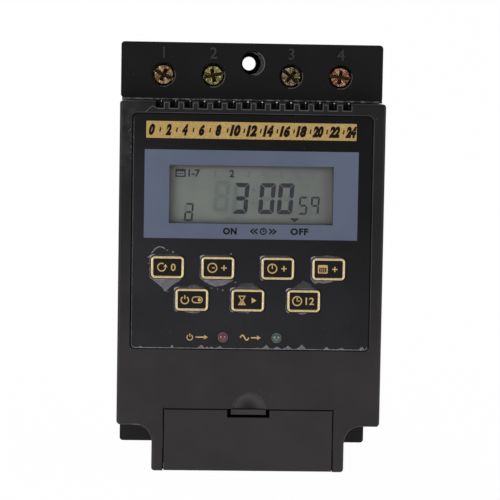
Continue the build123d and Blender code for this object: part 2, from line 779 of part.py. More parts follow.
# Keys and the plungers of the switches that they press
def make_keys():
    flange = (key_size[0] + 2 * key_flange_lap, key_size[1] + 2 * key_flange_lap)
    flange_y = inner_front_y + key_gap
    flange_back = flange_y + key_flange_thickness
    switch_y = control_y - switch_height
    for name, spot in keys_at.items():
        with BuildPart() as key:
            panel(spot, key_size, key_corner, (key_top_y, flange_back))
            fillet(key.faces().sort_by(Axis.Y)[0].edges(), key_crown)
            panel(spot, flange, key_corner + 0.3, (flange_y, flange_back))
        keep(key, f"key_{name}")

        shoulder_y = switch_y + switch_skin + 0.1
        with BuildPart() as plunger:
            rod(spot, (flange_back, shoulder_y + 0.2), plunger_radius)
            rod(spot, (shoulder_y, control_y - switch_floor - 2 * key_travel),
                plunger_radius + plunger_shoulder)
        keep(plunger, f"plunger_{name}")

    with BuildPart() as switches:
        for x, z in keys_at.values():
            half = switch_side / 2
            chamber = plunger_radius + plunger_shoulder + plunger_clearance
            block((x - half, x + half), (switch_y, control_y), (z - half, z + half))
            floor = control_y - switch_floor
            rod((x, z), (switch_y - 0.1, floor), plunger_radius + plunger_clearance, Mode.SUBTRACT)
            rod((x, z), (switch_y + switch_skin, floor), chamber, Mode.SUBTRACT)
            for leg_x, leg_z in switch_legs((x, z)):
                rod((leg_x, leg_z), (control_y - 0.1, control_back_y + lead_length), 0.35)
    keep(switches, "switch_bodies")


def switch_legs(spot):
    """Places of the four legs of a switch."""
    reach = switch_side / 2 - 0.6
    return [(spot[0] + sx * reach, spot[1] + sz * reach) for sx in (-1, 1) for sz in (-1, 1)]


# Indicator lamps
led_lead_pitch = 2.5


def make_leds():
    radius = led_diameter / 2
    tip = panel_face_y - led_proud
    foot = tip + led_height
    for x, name in zip(led_x, ("power_led", "work_led")):
        with BuildPart() as led:
            with BuildSketch(Plane.XY.offset(led_z)) as half:
                with BuildLine():
                    Line((x, tip), (x, foot))
                    Line((x, foot), (x + radius + 0.3, foot))
                    Line((x + radius + 0.3, foot), (x + radius + 0.3, foot - 0.7))
                    Line((x + radius + 0.3, foot - 0.7), (x + radius, foot - 0.7))
                    Line((x + radius, foot - 0.7), (x + radius, tip + radius))
                    CenterArc((x, tip + radius), radius, 270, 90)
                make_face()
            revolve(axis=Axis((x, 0, led_z), (0, 1, 0)))
            for side in (-1, 1):
                rod((x + side * led_lead_pitch / 2, led_z), (foot - 0.1, control_back_y + lead_length), 0.25)
        keep(led, name)


# Control board behind the panel, with the parts on its back
crystal_size = (1.05, 6.0)
blob_radius = 6.5


def make_control_board():
    crystal_x = window_x + 14
    crystal_z = window_z - 6
    with BuildPart() as board:
        block((-board_half_width, board_half_width), (control_y, control_back_y),
              (control_board_low_z, control_top_z))
        through = (control_y - 0.1, control_back_y + 0.1)
        for spot in control_posts:
            rod(spot, through, board_screw_radius + pass_clearance, Mode.SUBTRACT)
        for spot in keys_at.values():
            for leg in switch_legs(spot):
                rod(leg, through, 0.35 + lead_clearance, Mode.SUBTRACT)
        for x in led_x:
            for side in (-1, 1):
                rod((x + side * led_lead_pitch / 2, led_z), through, 0.25 + lead_clearance, Mode.SUBTRACT)
        for side in (-1, 1):
            rod((crystal_x, crystal_z + side * 0.5), through, 0.2 + lead_clearance, Mode.SUBTRACT)
    keep(board, "control_board")

    with BuildPart() as blob:
        turned((window_x, window_z), [
            (0, control_back_y), (blob_radius, control_back_y), (blob_radius - 0.5, control_back_y + 1.0),
            (blob_radius / 2, control_back_y + 1.6), (0, control_back_y + 1.7)])
    keep(blob, "controller_chip")

    can_y = control_back_y + crystal_size[0] + 0.05
    with BuildPart() as crystal:
        axle((crystal_x + 1.5, crystal_x + 1.5 + crystal_size[1]), (can_y, crystal_z), crystal_size[0])
        for side in (-1, 1):
            z = crystal_z + side * 0.5
            with BuildLine() as lead:
                FilletPolyline((crystal_x + 1.6, can_y, z), (crystal_x, can_y, z),
                               (crystal_x, control_y + 0.3, z), radius=0.5)
            with BuildSketch(Plane(origin=(crystal_x + 1.6, can_y, z), z_dir=(-1, 0, 0))):
                Circle(0.2)
            sweep(path=lead.line)
    keep(crystal, "crystal")

    with BuildPart() as chips:
        for column in range(4):
            for row in range(2):
                x = window_x - 20 + column * 3.4
                z = window_z - 5 + row * 8
                block((x - 0.65, x + 0.65), (control_back_y, control_back_y + 0.6), (z - 1, z + 1))
    keep(chips, "chip_resistors")


# Power board with the relay, the supply parts and the terminal legs
def relay_frame():
    """Limits of the relay along X, Y and Z."""
    low_z = power_board_low_z + relay_z_from_board
    back = power_y - 0.3
    return (
        (relay_x, relay_x + relay_size[0]),
        (back - relay_size[1], back),
        (low_z, low_z + relay_size[2]),
    )


def relay_pins():
    """Places of the relay's pins on its base."""
    x, _, z = relay_frame()
    return [(x[0] + 4, z[0] + 4), (x[1] - 4, z[0] + 4), (x[0] + 4, z[1] - 4), (x[1] - 4, z[1] - 4)]


def supply_places():
    """Places of the supply parts: from the board's lower edge, its right side and the relay."""
    low = power_board_low_z
    side = board_half_width
    relay_side = relay_x + relay_size[0]
    return {
        "dropper": (side - 24.8, low + 20.0),
        "capacitors": [((side - 13.8, low + 31.0), 4.0, 12.0), ((side - 4.4, low + 31.0), 3.15, 11.0)],
        "diodes": [(relay_side + 4.0 + 4.2 * i, low + 44.0) for i in range(4)],
        "varistor": (side - 6.8, low + 44.0),
        "resistors": [(side - 25.8, low + 53.0), (side - 25.8, low + 59.0)],
    }


def lead_holes():
    """Places of the wire leads of the supply parts, with the lead's radius."""
    places = supply_places()
    x, z = places["dropper"]
    leads = [(x, z - 10, 0.4), (x, z + 10, 0.4)]
    for (x, z), radius, _ in places["capacitors"]:
        leads += [(x, z - radius / 2, 0.3), (x, z + radius / 2, 0.3)]
    for x, z in places["diodes"]:
        leads += [(x, z - 4.5, 0.4), (x, z + 4.5, 0.4)]
    x, z = places["varistor"]
    leads += [(x, z - 3.7, 0.4), (x, z + 3.7, 0.4)]
    for x, z in places["resistors"]:
        leads += [(x - 7.5, z, 0.4), (x + 7.5, z, 0.4)]
    return leads


def make_power_board():
    neck = case_width / 2 - case_screw_inset - case_post_radius - 0.3
    with BuildPart() as board:
        block((-board_half_width, board_half_width), (power_y, power_back_y),
              (power_board_low_z, power_top_z))
        block((-neck, neck), (power_y, power_back_y), (power_top_z - 1, leg_z + plate_thickness + 1.2))
        through = (power_y - 0.1, power_back_y + 0.1)
        for spot in power_posts:
            rod(spot, through, board_screw_radius + pass_clearance, Mode.SUBTRACT)
        for spot in relay_pins():
            rod(spot, through, 0.6 + lead_clearance, Mode.SUBTRACT)
        for x, z, radius in lead_holes():
            rod((x, z), through, radius + lead_clearance, Mode.SUBTRACT)
        for x in terminal_x:
            half = leg_width / 2 + pass_clearance
            block((x - half, x + half), through,
                  (leg_z - pass_clearance, leg_z + plate_thickness + pass_clearance), Mode.SUBTRACT)
    keep(board, "power_board")


def make_relay():
    x, y, z = relay_frame()
    inner_x_limits = (x[0] + relay_wall, x[1] - relay_wall)
    inner_z = (z[0] + relay_wall, z[1] - relay_wall)
    base_front = y[1] - relay_base_thickness
    with BuildPart() as case:
        block(x, y, z)
        fillet(case.faces().sort_by(Axis.Y)[0].edges(), 0.6)
        block(inner_x_limits, (y[0] + relay_wall, y[1] + 1), inner_z, Mode.SUBTRACT)
    keep(case, "relay_case")

    with BuildPart() as base:
        gap = seat_gap
        block((inner_x_limits[0] + gap, inner_x_limits[1] - gap), (base_front, y[1]),
              (inner_z[0] + gap, inner_z[1] - gap))
        for spot in relay_pins():
            rod(spot, (y[1] - 0.1, power_back_y + lead_length), 0.6)
    keep(base, "relay_base")

    coil_x = x[0] + 8
    coil_y = base_front - 7.0
    foot_z = inner_z[0] + 0.4
    coil_low = foot_z + yoke_thickness
    coil_top = coil_low + coil_length + 2
    flange = coil_radius + 0.6
    with BuildPart() as coil:
        with BuildSketch(Plane.XY.offset(coil_low)):
            with Locations((coil_x, coil_y)):
                Rectangle(2 * flange, 2 * flange)
        extrude(amount=1)
        with BuildSketch(Plane.XY.offset(coil_low + 1)):
            with Locations((coil_x, coil_y)):
                Circle(coil_radius)
        extrude(amount=coil_length)
        with BuildSketch(Plane.XY.offset(coil_top - 1)):
            with Locations((coil_x, coil_y)):
                Rectangle(2 * flange, 2 * flange)
        extrude(amount=1)
        with BuildSketch(Plane.XY.offset(coil_top - 0.1)):
            with Locations((coil_x, coil_y)):
                Circle(coil_radius / 2)
        extrude(amount=0.5)
    keep(coil, "relay_coil")

    leg_x = (coil_x + flange + 0.2, coil_x + flange + 0.2 + yoke_thickness)
    yoke_y = (coil_y - flange, base_front)
    pole_z = coil_top + 0.4
    armature_z = pole_z + armature_gap
    with BuildPart() as yoke:
        block((coil_x - flange, leg_x[1]), yoke_y, (foot_z, coil_low))
        block(leg_x, yoke_y, (foot_z, armature_z - 0.1))
    keep(yoke, "relay_yoke")

    leaf_x = (leg_x[1] + 0.8, leg_x[1] + 1.3)
    contact_z = armature_z - 10
    button_y = coil_y
    with BuildPart() as armature:
        block((coil_x - flange, leaf_x[1]), (coil_y - 4, coil_y + 4),
              (armature_z, armature_z + armature_thickness))
        block(leaf_x, (coil_y - 4, coil_y + 4), (contact_z - 2, armature_z + 0.1))
        axle((leaf_x[1] - 0.1, leaf_x[1] + 0.9), (button_y, contact_z), 1.5)
    keep(armature, "relay_armature")

    post_x_limits = (leaf_x[1] + 0.9 + 0.75 + 0.8, leaf_x[1] + 0.9 + 0.75 + 1.8)
    with BuildPart() as contact:
        block(post_x_limits, (coil_y - 4, base_front), (contact_z - 3, contact_z + 3))
        axle((post_x_limits[0] - 0.8, post_x_limits[0] + 0.1), (button_y, contact_z), 1.5)
    keep(contact, "relay_contact")


def make_supply_parts():
    places = supply_places()
    through_y = power_back_y + lead_length
    x, z = places["dropper"]
    with BuildPart() as dropper:
        block((x - 4.5, x + 4.5), (power_y - 16.3, power_y - 0.3), (z - 13, z + 13))
        fillet(dropper.faces().sort_by(Axis.Y)[0].edges(), 1.0)
        for side in (-1, 1):
            rod((x, z + side * 10), (power_y - 0.4, through_y), 0.4)
    keep(dropper, "dropper_capacitor")

    with BuildPart() as capacitors:
        for spot, radius, height in places["capacitors"]:
            top = power_y - 0.3 - height
            turned(spot, [
                (0, top + 0.3), (radius - 0.8, top + 0.3), (radius - 0.8, top), (radius - 0.2, top),
                (radius, top + 0.3), (radius, power_y - 2.2), (radius - 0.3, power_y - 1.9),
                (radius, power_y - 1.6), (radius, power_y - 0.3), (0, power_y - 0.3)])
            for side in (-1, 1):
                rod((spot[0], spot[1] + side * radius / 2), (power_y - 0.4, through_y), 0.3)
    keep(capacitors, "smoothing_capacitors")

    body_y = power_y - 1.65
    with BuildPart() as diodes:
        for x, z in places["diodes"]:
            with BuildSketch(Plane.XY.offset(z - 4.5)):
                with Locations((x, body_y)):
                    Circle(0.4)
            extrude(amount=9)
            with BuildSketch(Plane.XY.offset(z - 2.5)):
                with Locations((x, body_y)):
                    Circle(1.35)
            extrude(amount=5)
            for side in (-1, 1):
                rod((x, z + side * 4.5), (body_y - 0.4, through_y), 0.4)
    keep(diodes, "rectifier_diodes")

    x, z = places["varistor"]
    with BuildPart() as varistor:
        axle((x - 2, x + 2), (power_y - 6.0, z), 5.0)
        fillet(varistor.edges().filter_by(GeomType.CIRCLE), 1.2)
        for side in (-1, 1):
            rod((x, z + side * 3.7), (power_y - 5.0, through_y), 0.4)
    keep(varistor, "varistor")

    body_y = power_y - 2.4
    with BuildPart() as resistors:
        for x, z in places["resistors"]:
            axle((x - 7.5, x + 7.5), (body_y, z), 0.4)
            axle((x - 4.5, x + 4.5), (body_y, z), 2.0)
            for side in (-1, 1):
                rod((x + side * 7.5, z), (body_y - 0.4, through_y), 0.4)
    keep(resistors, "power_resistors")


# Flat cable between the two boards
def make_ribbon_cable():
    cable_x = (board_half_width - 15.8, board_half_width - 8.2)
    thickness = 1.0
    start_z = control_board_low_z + 12
    end_z = power_board_low_z + 12
    slack = 6.0
    with BuildPart() as cable:
        with BuildSketch(Plane.YZ.offset(cable_x[0])):
            with BuildLine():
                FilletPolyline(
                    (control_back_y, start_z), (control_back_y + slack, start_z),
                    (power_y - slack, end_z), (power_y, end_z), radius=3.0)
            trace(line_width=thickness)
        extrude(amount=cable_x[1] - cable_x[0])
    keep(cable, "ribbon_cable")


# Screw terminals: plates with their legs, clamps and screws
def make_terminals():
    with BuildPart() as plates:
        for x in terminal_x:
            half = plate_width / 2
            block((x - half, x + half), (plate_y, plate_back_y), (block_z + 0.6, screw_z + 6.6))
            leg = (x - leg_width / 2, x + leg_width / 2)
            block(leg, (plate_y, plate_back_y), (leg_z, block_z + 0.7))
            block(leg, (plate_y, power_back_y + lead_length), (leg_z, leg_z + plate_thickness))
            rod((x, screw_z), (plate_y - 0.1, plate_back_y + 0.1),
                screw_thread_diameter / 2 + thread_clearance, Mode.SUBTRACT)
    keep(plates, "terminal_plates")

    clamp_width = tunnel_width - 2 * clamp_side_gap
    for number, x in enumerate(terminal_x, 1):
        half = clamp_width / 2
        z = (screw_z - clamp_depth / 2, screw_z + clamp_depth / 2)
        with BuildPart() as clamp:
            block((x - half, x + half), (clamp_y, clamp_y + clamp_thickness), z)
            for side in (-1, 1):
                rim = sorted((x + side * half, x + side * (half - 1.2)))
                block(rim, (clamp_y + 0.1, clamp_y + clamp_thickness + clamp_rim), z)
            rod((x, screw_z), (clamp_y - 0.1, clamp_y + 3),
                screw_thread_diameter / 2 + pass_clearance, Mode.SUBTRACT)
        keep(clamp, f"clamp_plate_{number}")

        crest = screw_thread_diameter / 2
        root = crest - screw_thread_depth
        tip_y = clamp_y + screw_length
        profile = [(0, head_y), (screw_head_diameter / 2 - 0.4, head_y),
                   (screw_head_diameter / 2, head_y + 0.4), (screw_head_diameter / 2, clamp_y),
                   (crest, clamp_y)]
        thread_y = clamp_y + clamp_thickness + 0.6
        while thread_y + screw_pitch < tip_y - 0.4:
            profile += [(crest, thread_y), (root, thread_y + screw_pitch / 2)]
            thread_y += screw_pitch
        profile += [(crest, thread_y), (root, tip_y), (0, tip_y)]
        with BuildPart() as screw:
            turned((x, screw_z), profile)
            for turn, width, length, depth in (
                (0, 0.9, screw_head_diameter + 1, 0.7), (0, 1.0, 3.8, 1.4), (90, 1.0, 3.8, 1.4),
            ):
                angle = screw_angles[number - 1] + turn
                with Locations(Location((x, head_y + depth / 2 - 0.5, screw_z), (0, angle, 0))):
                    Box(length, depth + 1, width, mode=Mode.SUBTRACT)
        keep(screw, f"terminal_screw_{number}")


# Screws that hold the boards and the two halves of the case
def make_fasteners():
    with BuildPart() as screws:
        for spot in case_screws_at:
            head = (case_seat_y, case_seat_y + case_screw_head[1])
            rod(spot, head, case_screw_head[0])
            rod(spot, (case_seat_y - case_screw_length, case_seat_y + 0.1), case_screw_radius)
            for size in ((3.2, 0.7), (0.7, 3.2)):
                block((spot[0] - size[0] / 2, spot[0] + size[0] / 2), (head[1] - 1, head[1] + 1),
                      (spot[1] - size[1] / 2, spot[1] + size[1] / 2), Mode.SUBTRACT)
    keep(screws, "case_screws")

    with BuildPart() as screws:
        for spot in control_posts:
            seat = control_back_y
            rod(spot, (seat, seat + board_screw_head[1]), board_screw_head[0])
            rod(spot, (seat - board_screw_length, seat + 0.1), board_screw_radius)
            block((spot[0] - 1.4, spot[0] + 1.4), (seat + 0.6, seat + 2),
                  (spot[1] - 0.3, spot[1] + 0.3), Mode.SUBTRACT)
        for spot in power_posts:
            seat = power_y
            rod(spot, (seat - board_screw_head[1], seat), board_screw_head[0])
            rod(spot, (seat - 0.1, seat + board_screw_length), board_screw_radius)
            block((spot[0] - 1.4, spot[0] + 1.4), (seat - 2, seat - 0.6),
                  (spot[1] - 0.3, spot[1] + 0.3), Mode.SUBTRACT)
    keep(screws, "board_screws")


# Rail clip: a slide on the back with a jaw under the lower edge of the rail
def make_rail_clip():
    top_z = rail_low_z + clip_jaw
    low_z = top_z - clip_length
    y = (seat_y + clip_gap, seat_y + clip_gap + clip_thickness)
    half = clip_width / 2
    slot_z = (low_z + clip_slot_foot, low_z + clip_slot_foot + clip_slot_length)
    with BuildPart() as clip:
        block((-half, half), y, (low_z, top_z))
        # The jaw leaves room for the rail's edge and has a slope that the rail pushes on
        jaw_y = seat_y + rail_lip_gap
        block((-half - 1, half + 1), (y[0] - 1, jaw_y), (rail_low_z - 0.4, top_z + 1), Mode.SUBTRACT)
        bar((-half - 1, half + 1), [(y[1] - 1.4, top_z + 0.1), (y[1] + 0.1, top_z + 0.1),
                                    (y[1] + 0.1, top_z - 1.4)], Mode.SUBTRACT)
        block((-clip_slot_width / 2, clip_slot_width / 2), (y[0] - 1, seat_y + 3.4), slot_z, Mode.SUBTRACT)
        # Slot for a screwdriver, and grip ridges at the foot
        block((-3, 3), (y[0] - 1, y[1] + 1), (low_z + 2, low_z + 4), Mode.SUBTRACT)
    keep(clip, "rail_clip")

    spring_y = seat_y + 1.75
    low = slot_z[0] + 1.6
    wire = clip_spring_wire
    path, first, heading = biarc_coil(
        (clip_spring_radius, clip_spring_radius), clip_spring_turns,
        (0, spring_y, low + wire / 2), (0, 0, 1), slot_z[1] - low - wire, 2)
    print("rail clip spring: least gap", round(least_gap(path, wire, 0.4), 2), "mm")
    with BuildPart() as spring:
        with BuildSketch(Plane(origin=first, z_dir=heading)):
            Circle(wire / 2)
        sweep(path=path)
    keep(spring, "rail_clip_spring")


make_rear_base()
make_front_cover()
make_battery_cover()
make_battery_latch()
make_battery()
make_panel_overlay()
make_display()
make_keys()
make_leds()
make_control_board()
make_power_board()
make_relay()
make_supply_parts()
make_ribbon_cable()
make_terminals()
make_fasteners()
make_rail_clip()
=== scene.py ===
# %% [markdown]
# A digital timer switch, dressed around its packed CAD model.
# The real object is a dark moulded case with a printed panel, a small grey display, seven
# keys and a raised block of screw terminals. The CAD gives every solid piece its shape and
# place. This script adds the light, the camera, the finishes and the fine things that a
# mould or a printer would put on it. All lengths here are in millimetres until they go
# into a mesh, which is in metres like the frame.

# %% Load the frame
import math
import random

import bmesh
import bpy
from mathutils import Euler, Matrix, Vector


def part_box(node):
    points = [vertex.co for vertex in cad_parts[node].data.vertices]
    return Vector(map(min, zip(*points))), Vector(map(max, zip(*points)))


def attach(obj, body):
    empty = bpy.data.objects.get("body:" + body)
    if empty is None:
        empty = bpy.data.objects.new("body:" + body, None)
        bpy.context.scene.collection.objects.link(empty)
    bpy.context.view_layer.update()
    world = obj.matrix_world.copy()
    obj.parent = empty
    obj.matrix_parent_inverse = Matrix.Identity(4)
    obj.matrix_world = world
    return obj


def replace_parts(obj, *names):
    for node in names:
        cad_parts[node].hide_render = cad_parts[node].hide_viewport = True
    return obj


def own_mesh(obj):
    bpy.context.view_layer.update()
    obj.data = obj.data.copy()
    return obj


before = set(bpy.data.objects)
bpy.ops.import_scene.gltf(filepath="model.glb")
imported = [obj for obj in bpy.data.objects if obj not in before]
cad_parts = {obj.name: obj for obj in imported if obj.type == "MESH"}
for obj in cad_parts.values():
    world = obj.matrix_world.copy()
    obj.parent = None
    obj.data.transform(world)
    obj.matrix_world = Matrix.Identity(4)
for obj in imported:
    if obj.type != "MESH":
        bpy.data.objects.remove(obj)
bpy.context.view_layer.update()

MM = 0.001
scene = bpy.context.scene


def limits(node):
    """Lowest and highest corner of a CAD node, in millimetres."""
    low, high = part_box(node)
    return Vector(low) / MM, Vector(high) / MM


# %% [markdown]
# The photograph was taken from a little to the left and above, with a long lens. A camera is
# fully described by its place, three angles and its focal length, so these are set as plain
# numbers that were fitted to the corners of the case.

# %% Camera
camera_place = Vector((-22.98, -624.3, 112.88))
camera_angles = (0.0842, -0.0379, 0.0138)
focal_pixels, picture_pixels, sensor_width = 2150.8, 500, 36.0


def add(name, data):
    """Puts an object that shows the data into the scene."""
    made = bpy.data.objects.new(name, data)
    scene.collection.objects.link(made)
    return made


right, down, forward = Euler(camera_angles).to_matrix() @ Matrix(((1, 0, 0), (0, 0, -1), (0, 1, 0)))
lens = bpy.data.cameras.new("camera")
lens.sensor_width = sensor_width
lens.lens = focal_pixels * sensor_width / picture_pixels
lens.clip_start, lens.clip_end = 0.01, 20.0
camera = add("camera", lens)
facing = Matrix((right, -down, -forward)).transposed().to_4x4()
camera.matrix_world = Matrix.Translation(camera_place * MM) @ facing
scene.camera = camera
print("lens", round(lens.lens, 1), "mm")


# %% [markdown]
# Every surface of the real object varies a little, so every finish here needs sums over
# noise and places. They could be wired by hand, but written as Python expressions they stay
# readable. `Value` wraps a socket and overloads the operators for that.

# %% Sums on sockets
class Value:
    """A socket of a finish that can be used in sums."""

    def __init__(self, finish, socket):
        self.finish, self.socket = finish, socket

    def math(self, operation, *inputs):
        return self.finish.node("ShaderNodeMath", {"operation": operation}, dict(enumerate(inputs)))

    def __add__(self, other):
        return self.math("ADD", self, other)

    def __sub__(self, other):
        return self.math("SUBTRACT", self, other)

    def __rsub__(self, other):
        return self.math("SUBTRACT", other, self)

    def __mul__(self, other):
        return self.math("MULTIPLY", self, other)

    __radd__, __rmul__ = __add__, __mul__

    def ramp(self, low, high):
        """0 below low, 1 above high and smooth between them."""
        return self.finish.node("ShaderNodeMapRange", {"interpolation_type": "SMOOTHSTEP"},
                                {"Value": self, "From Min": low, "From Max": high})


print("beside the operators a value has:", [name for name in vars(Value) if not name.startswith("_")])


# %% [markdown]
# A finish is one Principled shader with a few nodes in front of it. `Finish.node` is the one
# place where any node is made, and the other methods give the fields that all finishes use:
# places in millimetres, noise of a given size, blends and bumps.

# %% Finishes
class Finish:
    """A material with one Principled shader, whose constants are set on its own sockets."""

    def __init__(self, name, colour, roughness=0.5, **sockets):
        self.material = bpy.data.materials.new(name)
        self.material.use_nodes = True
        self.nodes = self.material.node_tree.nodes
        self.shader = self.nodes["Principled BSDF"]
        for socket, value in {"Base_Color": colour, "Roughness": roughness, **sockets}.items():
            self.set(socket.replace("_", " "), value)

    def set(self, socket, value):
        self.plug(self.shader.inputs[socket], value)

    def plug(self, socket, value):
        if isinstance(value, Value):
            self.material.node_tree.links.new(value.socket, socket)
        elif isinstance(value, tuple) and socket.type == "RGBA":
            socket.default_value = (*value, 1.0)
        else:
            socket.default_value = value

    def node(self, kind, settings=None, inputs=None, output=0):
        """Makes any node: first its settings, then the values or links of its sockets."""
        made = self.nodes.new(kind)
        for name, value in (settings or {}).items():
            setattr(made, name, value)
        for name, value in (inputs or {}).items():
            self.plug(made.inputs[name], value)
        return Value(self, made.outputs[output])

    def place(self, stretch=(1, 1, 1)):
        """Where a point of the surface is, in millimetres, with each axis scaled."""
        spot = self.node("ShaderNodeTexCoord", output="Object")
        scale = tuple(s / MM for s in stretch)
        return self.node("ShaderNodeVectorMath", {"operation": "MULTIPLY"}, {0: spot, 1: scale})

    def axis(self, index):
        return self.node("ShaderNodeSeparateXYZ", inputs={0: self.place()}, output=index)

    def aside(self, spot):
        """How far a point of the surface lies right of a spot on the front, and above it."""
        return self.axis(0) - spot[0], self.axis(2) - spot[1]

    def distance(self, spot):
        across, up = self.aside(spot)
        return across.math("SQRT", across * across + up * up)

    def noise(self, size, detail=2.0, stretch=(1, 1, 1), roughness=0.5):
        """Smooth noise from 0 to 1 whose features are about size millimetres across."""
        return self.node("ShaderNodeTexNoise", inputs={
            "Vector": self.place(stretch), "Scale": 1 / size, "Detail": detail, "Roughness": roughness})

    def blend(self, factor, a, b):
        return self.node("ShaderNodeMix", {"data_type": "RGBA"}, {0: factor, 6: a, 7: b}, 2)

    def mottled(self, field, colour, dark, light):
        """The colour made darker and lighter where a field of noise is low and high."""
        return self.blend(field.ramp(0.3, 0.7), shade(colour, dark), shade(colour, light))

    def paint(self, factor, a, b):
        self.set("Base Color", self.blend(factor, a, b))

    def bump(self, height, depth):
        """Raises the surface by depth millimetres where height is 1."""
        self.set("Normal", self.node("ShaderNodeBump", inputs={
            "Strength": 1.0, "Distance": depth * MM, "Height": height}, output="Normal"))


def srgb(red, green, blue):
    """A colour as a picture shows it, from 0 to 255, made linear for the shader."""
    return tuple(
        c / 255 / 12.92 if c <= 10 else ((c / 255 + 0.055) / 1.055) ** 2.4 for c in (red, green, blue)
    )


def shade(colour, factor):
    return tuple(min(1.0, c * factor) for c in colour)


print("middle grey as a shader reads it:", [round(c, 3) for c in srgb(128, 128, 128)])


# %% [markdown]
# The studio is a white sweep behind and under the object, a soft overall light and four soft
# boxes. The sweep shows pure white to the camera through Light Path, so the background stays
# clean without throwing more light on the dark case.

# %% Studio
half, near, far, bend, top = 3.0, -2.5, 1.2, 0.5, 3.0
profile = [(near, 0.0), (far - bend, 0.0)]
for step in range(1, 12):
    angle = math.radians(step * 7.5)
    profile.append((far - bend + bend * math.sin(angle), bend - bend * math.cos(angle)))
profile += [(far, bend), (far, top)]
mesh = bpy.data.meshes.new("sweep")
mesh.from_pydata([(x, y, z) for y, z in profile for x in (-half, half)], [],
                 [(2 * i, 2 * i + 1, 2 * i + 3, 2 * i + 2) for i in range(len(profile) - 1)])
mesh.shade_smooth()
sweep = add("sweep", mesh)

paper = Finish("studio_paper", (0.8, 0.8, 0.8), 0.9)
seen, mirrored, through = (paper.node("ShaderNodeLightPath", output=f"Is {kind} Ray")
                           for kind in ("Camera", "Glossy", "Transmission"))
paper_white = 0.985
glow = paper.node("ShaderNodeEmission", inputs={"Color": (1, 1, 1), "Strength": 1.0})
lit = Value(paper, paper.shader.outputs[0])
share = (seen + mirrored + through) * paper_white
mixed = paper.node("ShaderNodeMixShader", inputs={0: share, 1: lit, 2: glow})
paper.plug(paper.nodes["Material Output"].inputs["Surface"], mixed)
mesh.materials.append(paper.material)

world = bpy.data.worlds.new("studio")
world.use_nodes = True
background = world.node_tree.nodes["Background"].inputs
background["Color"].default_value = (1.0, 1.0, 1.0, 1.0)
background["Strength"].default_value = 0.3
scene.world = world
scene.view_settings.view_transform = "Standard"

# Each soft box is a square lamp aimed at the middle; places in metres, power in watts.
middle = Vector((0.0, 0.0, 0.06))
for name, place, size, power in (
    ("left_box", (-0.8, -0.85, 0.26), 0.5, 5.4), ("right_box", (0.9, -0.8, 0.3), 0.5, 4.4),
    ("top_box", (0.0, -0.1, 1.2), 0.8, 1.6), ("back_box", (-0.5, 0.9, 0.7), 0.6, 6.0),
):
    light = bpy.data.lights.new(name, "AREA")
    light.size, light.energy = size, power
    box = add(name, light)
    box.location = place
    box.rotation_euler = (middle - Vector(place)).to_track_quat("-Z", "Y").to_euler()
print("soft boxes:", len(bpy.data.lights))


# %% [markdown]
# Moulded plastic looks flat until it gets three things: a slow mottling from the mould, a
# fine grain that breaks up the gloss, and a little dust. One function makes them all, so the
# case, the clip and the small parts differ only in colour, gloss and how much dust they hold.
# The large pieces also get painted light: paler towards the lower left of the front, where more light falls.

# %% Plastic finishes
def moulded(name, tint, roughness=0.5, grain=0.35, depth=0.012, dust=0.3, mottle=0.12,
            painted_light_gradient=None, gloss=0.24):
    """Plastic from a mould, with grain, mottling and specks of dust.

    The painted light gradient argument holds the gain low down, the gain high up, the two heights and the
    lean to the left.
    """
    colour = srgb(*tint)
    finish = Finish(name, colour, roughness, Specular_IOR_Level=gloss)
    cloud = finish.noise(11.0, 3.0)
    fine = finish.noise(grain, 3.0, roughness=0.6)
    tone = finish.mottled(cloud, colour, 1 - mottle, 1 + mottle)
    if painted_light_gradient:
        # Painted light: the colour is scaled by height and lean, so it is paler low down and to the left.
        foot, head, low, high, lean = painted_light_gradient
        painted_light_gain = (finish.axis(2) + finish.axis(0) * lean).ramp(low, high) * (head - foot) + foot
        tone = finish.node("ShaderNodeVectorMath", {"operation": "SCALE"}, {0: tone, "Scale": painted_light_gain})
    specks = finish.noise(0.75, 2.0).ramp(0.70, 0.76) * finish.noise(9.0, 2.0).ramp(0.42, 0.6)
    facing = finish.node("ShaderNodeNewGeometry", output="Normal")
    upward = finish.node("ShaderNodeSeparateXYZ", inputs={0: facing}, output="Z").ramp(0.5, 0.95)
    settled = upward * finish.noise(0.5, 3.0, roughness=0.7).ramp(0.35, 0.7) * 0.45
    pale = tuple(c + (0.32 - c) * 0.5 for c in colour)
    finish.tone = finish.blend((specks + settled) * dust, tone, pale)
    finish.set("Base Color", finish.tone)
    finish.set("Roughness", roughness + (fine - 0.5) * 0.12 + (cloud - 0.5) * 0.08 + specks * 0.15)
    finish.bump(fine, depth)
    return finish


case_plastic = moulded("case_plastic", (39, 36, 37), 0.47, dust=0.25, painted_light_gradient=(1.2, 0.34, 22.0, 78.0, 0.12))
moulded("base_plastic", (17, 16, 16), painted_light_gradient=(3.7, 1.05, 20.0, 80.0, 0.25), gloss=0.14)
moulded("battery_cover_plastic", (47, 43, 44), dust=0.1)
moulded("latch_plastic", (54, 50, 51), 0.45)
moulded("clip_plastic", (24, 24, 25), 0.42, dust=0.2)
moulded("switch_plastic", (28, 28, 28), 0.4, dust=0.05)
moulded("frame_plastic", (205, 205, 200), dust=0.02, mottle=0.03)
moulded("relay_plastic", (40, 70, 130), 0.28, dust=0.1, mottle=0.05)
moulded("panel_film", (23, 23, 25), 0.42, 0.5, 0.006, dust=0.16, mottle=0.1,
        painted_light_gradient=(2.15, 0.36, 36.0, 104.0, 0.5), gloss=0.13)
moulded("key_plastic", (15, 10, 8), 0.36, dust=0.12, gloss=0.2)
# Pale edge colour: partly wear, partly a painted highlight on the vent edges and the hole rims.
moulded("worn_edge", (94, 91, 92), grain=0.8, dust=0.8, mottle=0.3)
# Painted highlight along the top edge of the recess and the edges of the notches.
moulded("edge_shine", (66, 63, 64), 0.4, grain=0.8, dust=0.4, mottle=0.3)
